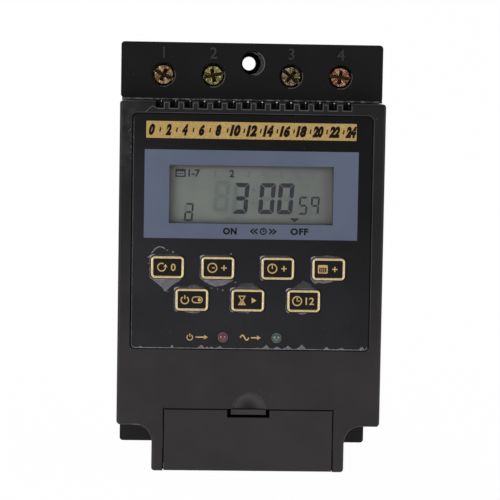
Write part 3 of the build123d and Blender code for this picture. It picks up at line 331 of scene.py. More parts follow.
# Near-black, as painted shade in the gaps beside the battery cover and the groove round the panel.
moulded("old_dirt", (9, 8, 8), 0.6, dust=0.1, gloss=0.06)
# White, for painted highlights: the glint on a notch and the tips of the vent ribs.
moulded("white_dust", (188, 186, 187), 0.7, grain=0.6, mottle=0.3)
# Dust in pale clumps, also standing in as painted light on the shaded ledge under the terminal block.
old_dust = Finish("old_dust", srgb(70, 68, 69), 0.65)
clumps = old_dust.noise(1.7, 3.0, roughness=0.6).ramp(0.42, 0.6)
old_dust.paint(clumps, srgb(30, 29, 30), srgb(100, 97, 99))
old_dust.bump(clumps, 0.06)
print("nodes in the case's finish:", len(case_plastic.nodes))


# %% [markdown]
# Above the battery latch a shallow scoop makes room for a fingertip. Its colour is painted
# shading: paler towards its rim and right side as painted light, dark in the middle as painted
# shade. The mask is made of the distance from the middle of the scoop and the depth below the
# front. The same finish gets a cloud of dust on the upper left corner, where nobody wipes.

# %% Painted shading in the scoop
scoop_middle, scoop_mouth = (0.0, 17.9), 5.0
front_depth = limits("front_cover")[0].y
across, depth, rise = (case_plastic.axis(index) for index in range(3))
from_middle = case_plastic.distance(scoop_middle)
in_scoop = (depth - front_depth).ramp(0.03, 0.25) * (1 - from_middle.ramp(scoop_mouth, scoop_mouth + 0.2))
# Painted shading: dark in the middle of the scoop, paler towards its rim and its right side.
scoop_painted_light = from_middle.ramp(0.6, scoop_mouth - 0.2) * (0.9 + across * 0.03) + 0.08
scoop_painted_shading = case_plastic.blend(scoop_painted_light, srgb(20, 19, 21), srgb(76, 72, 73))
dusty = (0 - across).ramp(30.0, 34.0) * rise.ramp(80.0, 90.0)
dusty = dusty * case_plastic.noise(2.6, 3.0).ramp(0.3, 0.65) * 0.07
dusty = dusty * (front_depth + 0.6 - depth).ramp(0.0, 0.3)
case_plastic.paint(in_scoop, case_plastic.blend(dusty, case_plastic.tone, srgb(120, 116, 120)), scoop_painted_shading)
print("scoop", scoop_mouth, "mm round; front of the cover at y", round(front_depth, 2))


# %% [markdown]
# Metal needs a high Metallic and a stain of some kind. The terminal screws and clamps of the
# real object are zinc plated and passivated to a dull yellow, patchy and browner in the
# hollows, while the contacts and the case screws are plain bright plate.

# %% Metal finishes
def plated(name, tint, stain, roughness=0.35, patch=1.2, amount=0.6):
    """Plated metal with patches of a second colour and fine brushing."""
    finish = Finish(name, srgb(*tint), roughness, Metallic=1.0)
    patches = finish.noise(patch, 4.0, roughness=0.65).ramp(0.4, 0.66)
    fine = finish.noise(0.18, 2.0)
    finish.paint(patches * amount, srgb(*tint), srgb(*stain))
    finish.set("Roughness", roughness + patches * 0.22 + (fine - 0.5) * 0.2)
    finish.bump(fine, 0.01)
    return finish


plated("yellow_zinc", (122, 108, 66), (70, 48, 28), 0.35, 0.7, 0.85)
plated("bright_plate", (190, 190, 184), (150, 146, 138), 0.3, 2.0, 0.4)
plated("terminal_brass", (190, 160, 92), (140, 104, 60), 0.35, 1.6, 0.5)
plated("nickel_plate", (205, 202, 192), (170, 160, 140), 0.24, 2.5, 0.4)
plated("soft_iron", (150, 150, 150), (105, 98, 90), 0.45, 2.0, 0.5)
print("materials with the first metals:", len(bpy.data.materials))


# %% [markdown]
# Each terminal screw has been turned a few times, so its head shows rays of bare and stained zinc
# that run out from the middle, and its recess is painted darker as painted shade. The rays are
# noise over the angle around the screw, and the shade comes from the depth below the head's face.

# %% Terminal screw finish
def spot_of(node):
    """Middle of a CAD node as the front shows it: x and z, in millimetres."""
    middle = sum(limits(node), Vector()) / 2
    return middle.x, middle.z


terminals = (1, 2, 3, 4)
zinc_tints = (((164, 144, 116), (92, 64, 38)), ((166, 158, 116), (78, 78, 36)),
              ((142, 132, 108), (70, 60, 38)), ((168, 142, 114), (106, 56, 30)))
for number, (bare, stain) in zip(terminals, zinc_tints):
    node = f"terminal_screw_{number}"
    spot, face = spot_of(node), limits(node)[0].y
    bare, stain = srgb(*bare), srgb(*stain)
    finish = Finish(f"screw_zinc_{number}", bare, 0.3, Metallic=1.0)
    right_of, above = finish.aside(spot)
    angle = above.math("ARCTAN2", above, right_of)
    rays = finish.node("ShaderNodeTexNoise", {"noise_dimensions": "2D"}, {
        "Vector": finish.node("ShaderNodeCombineXYZ", inputs={0: angle * 2.2, 1: number * 7.0}),
        "Scale": 1.0, "Detail": 3.0, "Roughness": 0.7})
    patches = finish.noise(0.8, 3.0, roughness=0.65).ramp(0.35, 0.65)
    dents = finish.noise(0.55, 2.0)
    # Painted shade: the recess gets a dark brown where it lies in shadow.
    recess_shade = (finish.axis(1) - face).ramp(0.08, 0.7) * (1 - finish.distance(spot).ramp(2.4, 2.7))
    metal = finish.blend(rays.ramp(0.42, 0.6), stain, bare)
    finish.paint(recess_shade * 0.85, finish.blend(patches * 0.45, metal, shade(stain, 1.4)), srgb(60, 47, 27))
    finish.set("Roughness", 0.2 + patches * 0.2 + recess_shade * 0.25)
    finish.bump(rays + dents * 1.4, 0.24)
print("screw heads:", [round(spot_of(f"terminal_screw_{n}")[0], 1) for n in terminals], "mm across")


# %% [markdown]
# A circuit board is green varnish over copper tracks. The tracks show as slightly lighter
# green where the copper lies under it. Stretched noise, cut at a threshold along two
# directions, gives lines that read as tracks without drawing each one. The coil, the printed
# jacket of the cell and the striped rubber are made of bands in the same way.

# %% Board and component finishes
board_green = Finish("varnished_board", srgb(28, 78, 44), 0.3, Coat_Weight=0.4)
across = board_green.noise(1.5, 1.0, (0.16, 1, 1)).ramp(0.48, 0.52)
along = board_green.noise(1.5, 1.0, (1, 1, 0.16)).ramp(0.5, 0.54)
which = board_green.noise(14.0, 0.0).ramp(0.49, 0.51)
tracks = across * which + along * (1 - which)
board_green.paint(tracks, srgb(24, 66, 38), srgb(44, 104, 58))
board_green.bump(tracks, 0.03)

copper_coil = Finish("wound_copper", srgb(150, 74, 40), 0.3, Metallic=0.9)
wound = copper_coil.node("ShaderNodeTexWave", {"bands_direction": "Z"}, {
    "Vector": copper_coil.place(), "Scale": 1.1, "Distortion": 0.4, "Detail": 1.0}, output="Fac")
copper_coil.paint(wound, srgb(100, 44, 24), srgb(176, 92, 52))
copper_coil.bump(wound, 0.08)

cell_jacket = Finish("cell_jacket", srgb(40, 44, 52), 0.3, Metallic=0.35, Coat_Weight=0.5)
along = cell_jacket.axis(0)
gold_end = along.ramp(8.0, 8.2) - along.ramp(19.4, 19.6)
ends = along.math("ABSOLUTE", along - 0.9).ramp(21.3, 21.5)
printed = cell_jacket.blend(gold_end, srgb(38, 42, 52), srgb(176, 136, 62))
cell_jacket.paint(ends, printed, srgb(185, 185, 180))
cell_jacket.set("Roughness", 0.26 + cell_jacket.noise(0.4, 2.0) * 0.12)

zebra_rubber = Finish("banded_rubber", srgb(60, 60, 64), 0.6)
stripes = zebra_rubber.node("ShaderNodeTexWave", {"bands_direction": "X"}, {
    "Vector": zebra_rubber.place(), "Scale": 1.5}, output="Fac")
zebra_rubber.paint(stripes, srgb(190, 120, 110), srgb(40, 40, 44))

moulded("chip_epoxy", (18, 18, 19), 0.35, dust=0.1)
moulded("film_yellow", (196, 150, 60), 0.4, dust=0.05)
moulded("can_sleeve", (34, 36, 56), 0.3, dust=0.05)
moulded("disc_blue", (40, 70, 140), 0.35, dust=0.05)
moulded("resistor_coat", (130, 150, 140), 0.45, dust=0.05)
moulded("cable_grey", (150, 150, 152), 0.45, dust=0.05, mottle=0.04)
print("materials with the parts inside:", len(bpy.data.materials))


# %% [markdown]
# The display sits behind a clear window. The window is thin, so it is a surface with low
# Alpha and a sharp gloss. The glass behind it is grey green and darker towards its rim,
# because the deep frame keeps light off its edges.

# %% Window, glass and lamps
clear_window = Finish("clear_window", srgb(60, 62, 62), 0.08, Alpha=0.12)
clear_window.set("Roughness", 0.07 + clear_window.noise(0.3, 2.0).ramp(0.6, 0.8) * 0.1)

glass_face = limits("lcd_glass")[0].y
window_half_width, window_half_height = 22.8, 8.1
window_centre = spot_of("display_lens")
lcd_glass = Finish("lcd_glass", srgb(130, 138, 132), 0.32, Coat_Weight=0.2)
along, height = lcd_glass.aside(window_centre)
from_sides = (along + window_half_width).ramp(-0.5, 2.2) * (window_half_width - along).ramp(-2.0, 0.8)
from_ends = (window_half_height - height).ramp(-0.8, 2.2) * (height + window_half_height).ramp(-0.8, 1.9)
# Painted shade: the glass is also painted darker towards the right, where the frame's shadow lies wider.
rightward = along.ramp(-5.0, 16.0)
dark_patch = lcd_glass.blend(rightward, srgb(129, 136, 131), srgb(120, 126, 123))
pale_patch = lcd_glass.blend(rightward, srgb(139, 145, 138), srgb(129, 134, 129))
centre_tone = lcd_glass.blend(lcd_glass.noise(7.0, 2.0).ramp(0.3, 0.7), dark_patch, pale_patch)
lcd_glass.paint(from_sides * from_ends, srgb(88, 92, 90), centre_tone)

moulded("display_ink", (56, 54, 66), 0.45, dust=0.0, mottle=0.15)
moulded("display_ghost", (122, 130, 126), 0.4, dust=0.0, mottle=0.05)


def lamp_epoxy(name, node, tint, painted_light_rim):
    """Diffused resin, painted paler towards its rim: painted light against the shade at the edge of the dome.
    """
    colour = srgb(*tint)
    finish = Finish(name, colour, 0.2, Coat_Weight=0.5)
    middle_tone = finish.mottled(finish.noise(0.9, 2.0), colour, 0.85, 1.2)
    finish.paint(finish.distance(spot_of(node)).ramp(0.75, 1.5), middle_tone, srgb(*painted_light_rim))
    return finish


lamp_epoxy("red_lamp", "power_led", (92, 48, 54), (104, 72, 76))
lamp_epoxy("green_lamp", "work_led", (66, 90, 78), (74, 86, 79))
print("glass lies", round(glass_face - limits("display_lens")[0].y, 2), "mm behind the face of the window")


# %% [markdown]
# Ink lies on the film in a thin layer. The gold is a bronze pigment in lacquer: it isn't a
# mirror, but each flake is a touch lighter or darker than the next. The film that was left on
# the panel has lifted, so it is clear with milky patches.

# %% Inks and films
def flaked_ink(name, tint, roughness, contrast, metal=0.25):
    colour = srgb(*tint)
    finish = Finish(name, colour, roughness, Metallic=metal)
    flakes = finish.noise(0.22, 3.0, roughness=0.7)
    tone = finish.mottled(flakes, colour, 1 - contrast, 1 + contrast)
    finish.paint(finish.noise(6.0, 2.0).ramp(0.3, 0.7) * 0.15, tone, shade(colour, 0.7))
    finish.set("Roughness", roughness + (flakes - 0.5) * 0.15)
    return finish


flaked_ink("band_gold", (184, 153, 90), 0.45, 0.45)
flaked_ink("key_gold", (228, 200, 152), 0.32, 0.42, 0.5)
flaked_ink("sign_gold", (204, 170, 112), 0.4, 0.35, 0.3)
moulded("field_ink", (90, 98, 118), 0.45, grain=0.4, depth=0.004, dust=0.12, mottle=0.05)
moulded("black_ink", (16, 10, 8), dust=0.0, gloss=0.12)
# Paler than the face: a painted highlight on the raised terminal figures.
moulded("moulded_mark", (52, 50, 51), 0.42)


def loose_film(name, cover, tint=(168, 164, 172)):
    """Clear film that has lifted: milky where air lies under it."""
    finish = Finish(name, srgb(*tint), 0.3, Specular_IOR_Level=0.4)
    creases = finish.noise(1.8, 2.5)
    finish.set("Alpha", cover * (0.84 + creases.ramp(0.35, 0.7) * 0.32))
    finish.bump(creases, 0.04)
    return finish


loose_film("film_pocket", 0.39)
loose_film("film_thin", 0.13)
loose_film("film_ghost", 0.13)
loose_film("film_crease", 0.42)
loose_film("film_rim", 0.42, (150, 158, 184))
loose_film("film_blob", 0.6, (170, 172, 184))
print("materials with inks and films:", len(bpy.data.materials))


# %% [markdown]
# Every CAD node gets the finish of what it is made of. The loop stops on a name that is
# missing, so no node is forgotten.

# %% Dress the CAD nodes
key_names = ("reset", "hour", "minute", "week", "manual", "timer", "clock")
finish_of = {
    "case_plastic": "front_cover", "base_plastic": "rear_base", "battery_cover_plastic": "battery_cover",
    "latch_plastic": "battery_latch", "clip_plastic": "rail_clip", "panel_film": "panel_overlay",
    "key_plastic": " ".join(f"key_{name}" for name in key_names),
    "switch_plastic": "switch_bodies relay_base " + " ".join(f"plunger_{name}" for name in key_names),
    "frame_plastic": "lcd_frame", "clear_window": "display_lens", "lcd_glass": "lcd_glass",
    "banded_rubber": "zebra_strips", "varnished_board": "control_board power_board",
    "chip_epoxy": "controller_chip chip_resistors rectifier_diodes",
    "bright_plate": "crystal case_screws board_screws",
    "nickel_plate": "battery_contact battery_spring rail_clip_spring",
    "cell_jacket": "battery_cell", "cable_grey": "battery_leads ribbon_cable",
    "relay_plastic": "relay_case", "wound_copper": "relay_coil", "soft_iron": "relay_yoke relay_armature",
    "terminal_brass": "relay_contact terminal_plates", "film_yellow": "dropper_capacitor",
    "can_sleeve": "smoothing_capacitors", "disc_blue": "varistor", "resistor_coat": "power_resistors",
    "red_lamp": "power_led", "green_lamp": "work_led",
    "yellow_zinc": " ".join(f"clamp_plate_{number}" for number in terminals),
    **{f"screw_zinc_{number}": f"terminal_screw_{number}" for number in terminals},
}
dressed = set()
for finish, nodes in finish_of.items():
    for node in nodes.split():
        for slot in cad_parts[node].material_slots:
            slot.material = bpy.data.materials[finish]
        dressed.add(node)
missing = sorted(set(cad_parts) - dressed)
if missing:
    raise ValueError(f"no finish for {missing}")
print("dressed", len(dressed), "nodes")


# %% [markdown]
# Print and moulded marks are flat shapes with a thickness. Each is drawn as faces in the
# plane of the front, with x to the right and z up. A stroke of constant width is a strip of
# four-sided faces with mitred joints, which keeps its width round a corner.

# %% Flat shapes
def arc(centre, radius, start, end, steps=20):
    """Points on an arc, with angles in degrees from the right, anticlockwise."""
    angles = [math.radians(start + (end - start) * i / steps) for i in range(steps + 1)]
    return [(centre[0] + radius * math.cos(a), centre[1] + radius * math.sin(a)) for a in angles]


def disc(centre, radius, steps=20):
    return arc(centre, radius, 0, 360, steps)[:-1]


def rounded(centre, size, radius, steps=5):
    """Outline of a rounded rectangle."""
    points = []
    for side, rise, start in ((1, 1, 0), (-1, 1, 90), (-1, -1, 180), (1, -1, 270)):
        corner = (centre[0] + side * (size[0] / 2 - radius), centre[1] + rise * (size[1] / 2 - radius))
        points += arc(corner, radius, start, start + 90, steps)
    return points


def band(outer, inner):
    """Faces between two closed outlines with the same number of points."""
    return [[outer[i - 1], outer[i], inner[i], inner[i - 1]] for i in range(len(outer))]


def rails(points, width, closed=False):
    """The two sides of a line: for each of its points the mitred point on the left and right."""
    count = len(points)
    sides = []
    for i, spot in enumerate(points):
        spot = Vector(spot)
        ways = [(spot - Vector(points[i - 1])).normalized()] if closed or i > 0 else []
        if closed or i < count - 1:
            ways.append((Vector(points[(i + 1) % count]) - spot).normalized())
        along = sum(ways, Vector((0, 0))).normalized()
        side = Vector((-along.y, along.x))
        reach = width / 2 / max(0.5, side.dot(Vector((-ways[0].y, ways[0].x))))
        sides.append((tuple(spot + side * reach), tuple(spot - side * reach)))
    return sides


def stroke(points, width, closed=False):
    """Faces along a line, with mitred joints."""
    sides = rails(points, width, closed)
    return [[a[0], b[0], b[1], a[1]] for a, b in zip(sides, sides[1:] + sides[:closed])]


print("faces in a ring of 24 sides:", len(stroke(disc((0, 0), 1.0, 24), 0.2, closed=True)))


# %% [markdown]
# Ink is a thin layer and a moulded mark stands out, so both are closed sheets with a real
# thickness: the flat faces are made once and pushed back. Every piece then gets its finish,
# the body it moves with and the material slot that it belongs to.

# %% Sheets
def place_piece(name, shape, finish, body, smooth=False):
    """Makes a piece of a shape, with its finish, the body it moves with and its material slot."""
    bmesh.ops.recalc_face_normals(shape, faces=shape.faces)
    for face in shape.faces:
        face.smooth = smooth and len(face.verts) == 4
    mesh = bpy.data.meshes.new(name)
    shape.to_mesh(mesh)
    shape.free()
    mesh.materials.append(bpy.data.materials[finish])
    piece = add(name, mesh)
    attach(piece, body)
    return piece


def sheet_piece(name, faces, front, thickness, finish, body="case"):
    """A closed sheet made of flat faces, with its face at depth front."""
    shape = bmesh.new()
    for face in faces:
        shape.faces.new([shape.verts.new((x * MM, front * MM, z * MM)) for x, z in face])
    bmesh.ops.remove_doubles(shape, verts=shape.verts, dist=0.002 * MM)
    bmesh.ops.recalc_face_normals(shape, faces=shape.faces)
    pushed = bmesh.ops.extrude_face_region(shape, geom=list(shape.faces))
    behind = [item for item in pushed["geom"] if isinstance(item, bmesh.types.BMVert)]
    bmesh.ops.translate(shape, verts=behind, vec=(0, thickness * MM, 0))
    return place_piece(name, shape, finish, body)


# %% [markdown]
# Figures and the two words beside the display use Blender's own letter shapes. The text
# becomes a mesh at once, is turned to face the viewer, and is scaled so that its capitals
# have the wanted height.

# %% Letters and figures
def written(text, centre, height, slant=0.0, weight=0.0, spacing=1.0, width=None):
    """Faces of a short text in the plane of the front, centred on a point."""
    curve = bpy.data.curves.new("letters", "FONT")
    curve.body, curve.shear, curve.offset = text, slant, weight
    curve.space_character, curve.resolution_u = spacing, 4
    holder = add("letters", curve)
    graph = bpy.context.evaluated_depsgraph_get()
    mesh = bpy.data.meshes.new_from_object(holder.evaluated_get(graph))
    points = [(vertex.co.x, vertex.co.y) for vertex in mesh.vertices]
    low = [min(p[i] for p in points) for i in (0, 1)]
    high = [max(p[i] for p in points) for i in (0, 1)]
    rise = height / (high[1] - low[1])
    run = width / (high[0] - low[0]) if width else rise
    middle = [(low[i] + high[i]) / 2 for i in (0, 1)]
    faces = [
        [((points[v][0] - middle[0]) * run + centre[0], (points[v][1] - middle[1]) * rise + centre[1])
         for v in face.vertices]
        for face in mesh.polygons
    ]
    bpy.data.objects.remove(holder)
    bpy.data.curves.remove(curve)
    bpy.data.meshes.remove(mesh)
    return faces


print("faces in the word OFF:", len(written("OFF", (0, 0), 1.0)))


# %% [markdown]
# The panel carries two printed fields. The gold band across the top has a row of hour
# figures, and the grey blue field surrounds the display. Both are separate thin sheets, so
# their edges stay sharp at any distance. ON and OFF stand under the display, and a ring with
# two hands stands for the clock between them.

# %% Printed panel
panel_low, panel_high = limits("panel_overlay")
panel_middle = spot_of("panel_overlay")
panel_size = (panel_high.x - panel_low.x, panel_high.z - panel_low.z)
panel_face = panel_low.y
ink = 0.03
band_centre, band_size = (-0.4, 95.7), (58.3, 4.7)
field_centre, field_size = (-0.2, 77.9), (59.4, 24.6)
window_size = (2 * window_half_width, 2 * window_half_height)


def on_panel(name, faces, lift, finish, thickness=None):
    """A sheet on the panel whose face stands lift millimetres in front of it."""
    sheet_piece(name, faces, panel_face - lift, thickness or lift, finish)


on_panel("gold_band", [rounded(band_centre, band_size, 0.1, 2)], ink, "band_gold")
field_edge = rounded(field_centre, field_size, 0.12)
on_panel("display_field", band(field_edge, rounded(window_centre, window_size, 0.12)), ink, "field_ink")

hours = []
hour_count, hour_pitch = 13, 4.6
for step in range(hour_count):
    x = band_centre[0] + (step - (hour_count - 1) / 2) * hour_pitch
    figure_width = 1.7 if step < 5 else 3.15
    hours += written(str(2 * step), (x, band_centre[1]), 3.2, slant=0.3, weight=0.075, width=figure_width)
    if step < hour_count - 1:
        tick = x + hour_pitch / 2 + (0.25 if step >= 4 else 0.0)
        hours += stroke([(tick - 0.12, band_centre[1] - 0.6), (tick + 0.12, band_centre[1] + 0.6)], 0.38)
on_panel("hour_figures", hours, 2 * ink, "black_ink", ink)

word_height = 1.9
words = written("ON", (-6.0, 67.75), word_height, weight=0.045, spacing=1.12, width=3.8)
words += written("OFF", (13.35, 67.85), word_height, weight=0.045, spacing=1.15, width=4.95)
clock_x, clock_z = 3.3, 67.8
words += stroke(disc((clock_x, clock_z), 0.82, 24), 0.32, closed=True)
words += stroke([(clock_x, clock_z + 0.55), (clock_x, clock_z), (clock_x + 0.4, clock_z)], 0.24)
for way in (-1, 1):
    for start in (1.6, 2.6):
        chevron = [(clock_x + way * (start + x), clock_z + z) for x, z in ((0, 0.7), (0.9, 0), (0, -0.7))]
        words += stroke(chevron, 0.36)
on_panel("field_words", words, 2 * ink, "black_ink", ink)
print("hour figures:", hour_count, "in", round((hour_count - 1) * hour_pitch, 1), "mm")


# %% [markdown]
# A figure on the display is made of seven bars with pointed ends. Bars that are off still
# show as a faint shadow on a real display, so every figure is drawn twice: all its bars in a
# tone close to the glass, and the lit ones dark on top.

# %% Display figures
bars_of = {"0": "abcdef", "3": "abgcd", "5": "afgcd", "8": "abcdefg", "9": "abcfg", "a": "abcdeg"}


def figure(text, corner, size, thick, lean=0.075, gap=0.1):
    """Bars of one figure whose lower left corner is given: slanted ends meet at the corners."""
    (w, h), t, g, cut = size, thick, gap, thick * 0.45
    half, waist = h / 2, thick / 2
    near, far = (cut - g) / 2, (cut + g) / 2
    upper_left = [(0, h - cut), (near, h - far), (t, h - t - g), (t, half + waist + g), (t / 2, half + g),
                  (0, half + waist * 0.7 + g)]
    top = [(cut, h), (w - cut, h), (w - far, h - near), (w - t - g, h - t), (t + g, h - t), (far, h - near)]
    waist_bar = [(t / 2 + g, half), (t + g, half + waist), (w - t - g, half + waist),
                 (w - t / 2 - g, half), (w - t - g, half - waist), (t + g, half - waist)]
    shapes = {
        "a": top, "d": [(x, h - z) for x, z in top], "g": waist_bar,
        "f": upper_left, "b": [(w - x, z) for x, z in upper_left],
        "e": [(x, h - z) for x, z in upper_left], "c": [(w - x, h - z) for x, z in upper_left],
    }
    return [[(corner[0] + x + z * lean, corner[1] + z) for x, z in shapes[name]] for name in bars_of[text]]


big, small = (4.35, 8.65), (2.45, 5.1)
big_thick, small_thick = 1.2, 0.55
lit_bars, ghost_bars = [], []
for text, x, z in (("8", -10.85, 73.0), ("3", -5.55, 72.45), ("0", 1.8, 72.5), ("0", 7.0, 72.5)):
    ghost_bars += figure("8", (x, z), big, big_thick)
    if text != "8":
        lit_bars += figure(text, (x, z), big, big_thick)
for text, x, z in (("5", 13.0, 72.45), ("9", 16.3, 72.45), ("a", -18.85, 70.2)):
    ghost_bars += figure("8", (x, z), small, small_thick)
    lit_bars += figure(text, (x, z), small, small_thick)
for z in (75.5, 79.1):
    ghost_bars.append(disc((0.45, z), 0.5))
print_row, print_height = 83.65, 2.1
day_pitch, today = 4.6, 2
for day in range(1, 8):
    spot = (-5.6 + day_pitch * (day - today), print_row)
    (lit_bars if day == today else ghost_bars).extend(written(str(day), spot, print_height, weight=0.035))
for x, bars in ((12.1, lit_bars), (-6.0, ghost_bars), (3.3, ghost_bars)):
    bars.append([(x - 1.4, 71.45), (x, 70.3), (x + 1.4, 71.45)])
page_x, page_z = -19.9, print_row - 0.2
page_edge = rounded((page_x, print_row), (2.9, 2.3), 0.25, 2)
lit_bars += band(page_edge, rounded((page_x, page_z), (2.1, 1.15), 0.1, 2))
lit_bars += [disc((page_x + x, page_z), 0.22, 8) for x in (-0.55, 0.0, 0.55)]
lit_bars += written("1-7", (-16.1, print_row), print_height, weight=0.035)
sheet_piece("ghost_bars", ghost_bars, glass_face - 0.02, 0.02, "display_ghost")
sheet_piece("lit_bars", lit_bars, glass_face - 0.04, 0.02, "display_ink")
print("faces lit:", len(lit_bars), "faint:", len(ghost_bars))


# %% [markdown]
# Each key carries a printed sign. The signs are plain ones that mean what the key does, and
# all are drawn round the point (0, 0) with the same stroke, so they can be moved to any key.

# %% Key signs
def moved(faces, offset, scale=1.0):
    return [[(x * scale + offset[0], z * scale + offset[1]) for x, z in face] for face in faces]


def bar(left, low, right, high):
    return [(left, low), (right, low), (right, high), (left, high)]


line = 0.3


def clock_sign(*hands):
    faces = stroke(disc((0, 0), 1.15, 28), line, closed=True)
    for hand in hands:
        faces += stroke(hand, line * 0.9)
    return faces


def calendar_sign():
    days = [bar(x - 0.13, z - 0.13, x + 0.13, z + 0.13) for x in (-0.5, 0.0, 0.5) for z in (-0.45, 0.02)]
    return band(rounded((0, 0), (2.5, 2.2), 0.25, 3), rounded((0, -0.2), (1.9, 1.2), 0.1, 3)) + days


minute_hand, hour_hand = [(0, -0.1), (0, 0.85)], [(-0.1, 0), (0.62, 0)]
round_arrow = stroke(arc((0, 0), 1.0, 60, 360, 24), line) + [[(0.5, 0.05), (1.5, 0.05), (1.0, 0.85)]]
plus = [bar(-0.7, -line / 2, 0.7, line / 2), bar(-line / 2, line / 2, line / 2, 0.7),
        bar(-line / 2, -0.7, line / 2, -line / 2)]
power_sign = stroke(arc((0, -0.1), 0.95, 125, 415, 24), line) + stroke([(0, 0.15), (0, 1.15)], line)
toggle_sign = stroke(rounded((0, 0), (2.6, 1.5), 0.74, 8), line * 0.8, closed=True) + [disc((0.55, 0), 0.42)]
hourglass = [(-0.8, 1.1), (0.8, 1.1), (0.12, 0.0), (0.8, -1.1), (-0.8, -1.1), (-0.12, 0.0)]
hourglass_sign = stroke(hourglass, line * 0.85, closed=True) + [[(-0.45, -0.95), (0.45, -0.95), (0.0, -0.3)]]
pointing_sign = [[(-0.5, -0.75), (0.75, 0.0), (-0.5, 0.75)]]
signs = {
    "reset": [(round_arrow, -1.5), (written("0", (0, 0), 1.9, weight=0.015), 1.5)],
    "hour": [(clock_sign(hour_hand), -1.4), (plus, 1.6)],
    "minute": [(clock_sign(minute_hand), -1.4), (plus, 1.6)],
    "week": [(calendar_sign(), -1.5), (plus, 1.6)],
    "manual": [(power_sign, -1.8), (toggle_sign, 1.4)],
    "timer": [(hourglass_sign, -1.5), (pointing_sign, 1.5)],
    "clock": [(clock_sign(minute_hand, hour_hand), -1.7),
              (written("12", (0, 0), 1.9, weight=0.015, width=2.2), 1.6)],
}
print("faces in the signs:", {name: sum(len(faces) for faces, _ in parts) for name, parts in signs.items()})


# %% [markdown]
# Each key has a raised gold frame round its face. The frame is a bead: a half round section
# swept round a rounded rectangle, and the cap is a stack of rounded rectangles. Both are made
# in one way: rows of points are joined by a skin of faces, one row to the next.

# %% Keys
def skin(name, rows, finish, body="case", closed=False, smooth=False):
    """A solid through rows of points: closed joins the last row to the first, or else both get a face."""
    shape = bmesh.new()
    rows = [[shape.verts.new([c * MM for c in point]) for point in row] for row in rows]
    for a, b in zip(rows, rows[1:] + rows[:closed]):
        for i in range(len(a)):
            shape.faces.new((a[i - 1], a[i], b[i], b[i - 1]))
    if not closed:
        shape.faces.new(rows[0])
        shape.faces.new(rows[-1])
    return place_piece(name, shape, finish, body, smooth)


def bead(name, outline, width, height, front, body, steps=8):
    """A half round ridge along a closed outline, standing on the surface at depth front."""
    rows = []
    for i, (x, z) in enumerate(outline):
        along = (Vector(outline[(i + 1) % len(outline)]) - Vector(outline[i - 1])).normalized()
        row = []
        for step in range(steps + 1):
            angle = math.pi * step / steps
            out = math.cos(angle) * width / 2
            row.append((x - along.y * out, front - math.sin(angle) * height, z + along.x * out))
        rows.append(row)
    skin(name, rows, "key_gold", body, closed=True, smooth=True)


def key_cap(name, centre, size, low_y, high_y, body):
    """The key's own cap: a rounded block with a soft edge and a face sunk inside its frame."""
    rows = []
    for inset, y in (
        (0.0, high_y), (0.0, low_y + 0.55), (0.08, low_y + 0.38), (0.25, low_y + 0.26),
        (0.45, low_y + 0.22), (1.0, low_y + 0.24),
    ):
        outline = rounded(centre, (size[0] - 2 * inset, size[1] - 2 * inset), max(0.95 - inset, 0.1), 6)
        rows.append([(x, y, z) for x, z in outline])
    return skin(name, rows, "key_plastic", body, smooth=True)


frame_width, frame_height, sign_scale = 0.66, 0.22, 1.08
face_depth, sign_depth, cap_inset = 0.24, 0.21, 0.8
for name in key_names:
    body = f"key_{name}"
    low, high = limits(body)
    centre = spot_of(body)
    cap_size = (high.x - low.x - 2 * cap_inset, high.z - low.z - 2 * cap_inset)
    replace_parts(key_cap(f"cap_{name}", centre, cap_size, low.y, high.y, body), body)
    outline = rounded(centre, [side - frame_width - 0.05 for side in cap_size], 0.75, 6)
    bead(f"frame_{name}", outline, frame_width, frame_height, low.y + face_depth, body)
    drawn = []
    for faces, offset in signs[name]:
        drawn += moved(faces, (centre[0] + offset * sign_scale, centre[1]), sign_scale)
    sheet_piece(f"sign_{name}", drawn, low.y + sign_depth, face_depth - sign_depth, "sign_gold", body)
print("keys:", len(key_names), "each", round(cap_size[0], 1), "x", round(cap_size[1], 1), "mm on its face")


# %% [markdown]
# The lamps have small signs beside them, and the terminals have raised numbers on the face
# above each screw, as a mould would leave them.

# %% Small marks
lamp_row = spot_of("power_led")[1]
wave = [(-2.6 + 0.15 * i, lamp_row + 0.7 * math.sin(i * math.pi / 8)) for i in range(17)]
lamp_signs = moved(power_sign, (-16.7, lamp_row), 0.82) + stroke(wave, 0.36)
for start, end in ((-15.1, -12.6), (0.4, 2.2)):
    lamp_signs += stroke([(start, lamp_row), (end, lamp_row)], 0.36)
    lamp_signs += moved(pointing_sign, (end + 0.3, lamp_row), 0.85)
on_panel("lamp_signs", lamp_signs, ink, "sign_gold")
# A ring in each lamp's colour lies over the dark gap round the lamp: painted light where that gap is in
# shade.
painted_light_ring_outer, painted_light_ring_inner = 1.42, 1.15
for node, finish in (("power_led", "red_lamp"), ("work_led", "green_lamp")):
    spot = spot_of(node)[0], lamp_row
    painted_light_ring = band(disc(spot, painted_light_ring_outer, 28), disc(spot, painted_light_ring_inner, 28))
    on_panel(f"collar_{node}", painted_light_ring, ink, finish, 0.25)

terminal_face = limits("rear_base")[0].y
raised, mark_row, mark_height = 0.25, 117.1, 3.2
for number in terminals:
    spot = spot_of(f"terminal_screw_{number}")[0], mark_row
    mark = written(str(number), spot, mark_height, weight=0.01)
    # Painted highlight: the raised figures use a paler plastic than the face around them.
    sheet_piece(f"terminal_mark_{number}", mark, terminal_face - raised, raised, "moulded_mark")
print("lamp signs at z", round(lamp_row, 2), "and terminal figures at z", mark_row)


# %% [markdown]
# The panel left the factory under a clear film, and most of it has been torn off. What is
# left shows as milky pockets beside the keys, where the film still bridges from the raised
# frame down to the panel, and as a torn edge along the panel's rim. Each pocket is a thin
# sheet cut to its own outline, given from the middle of its key.

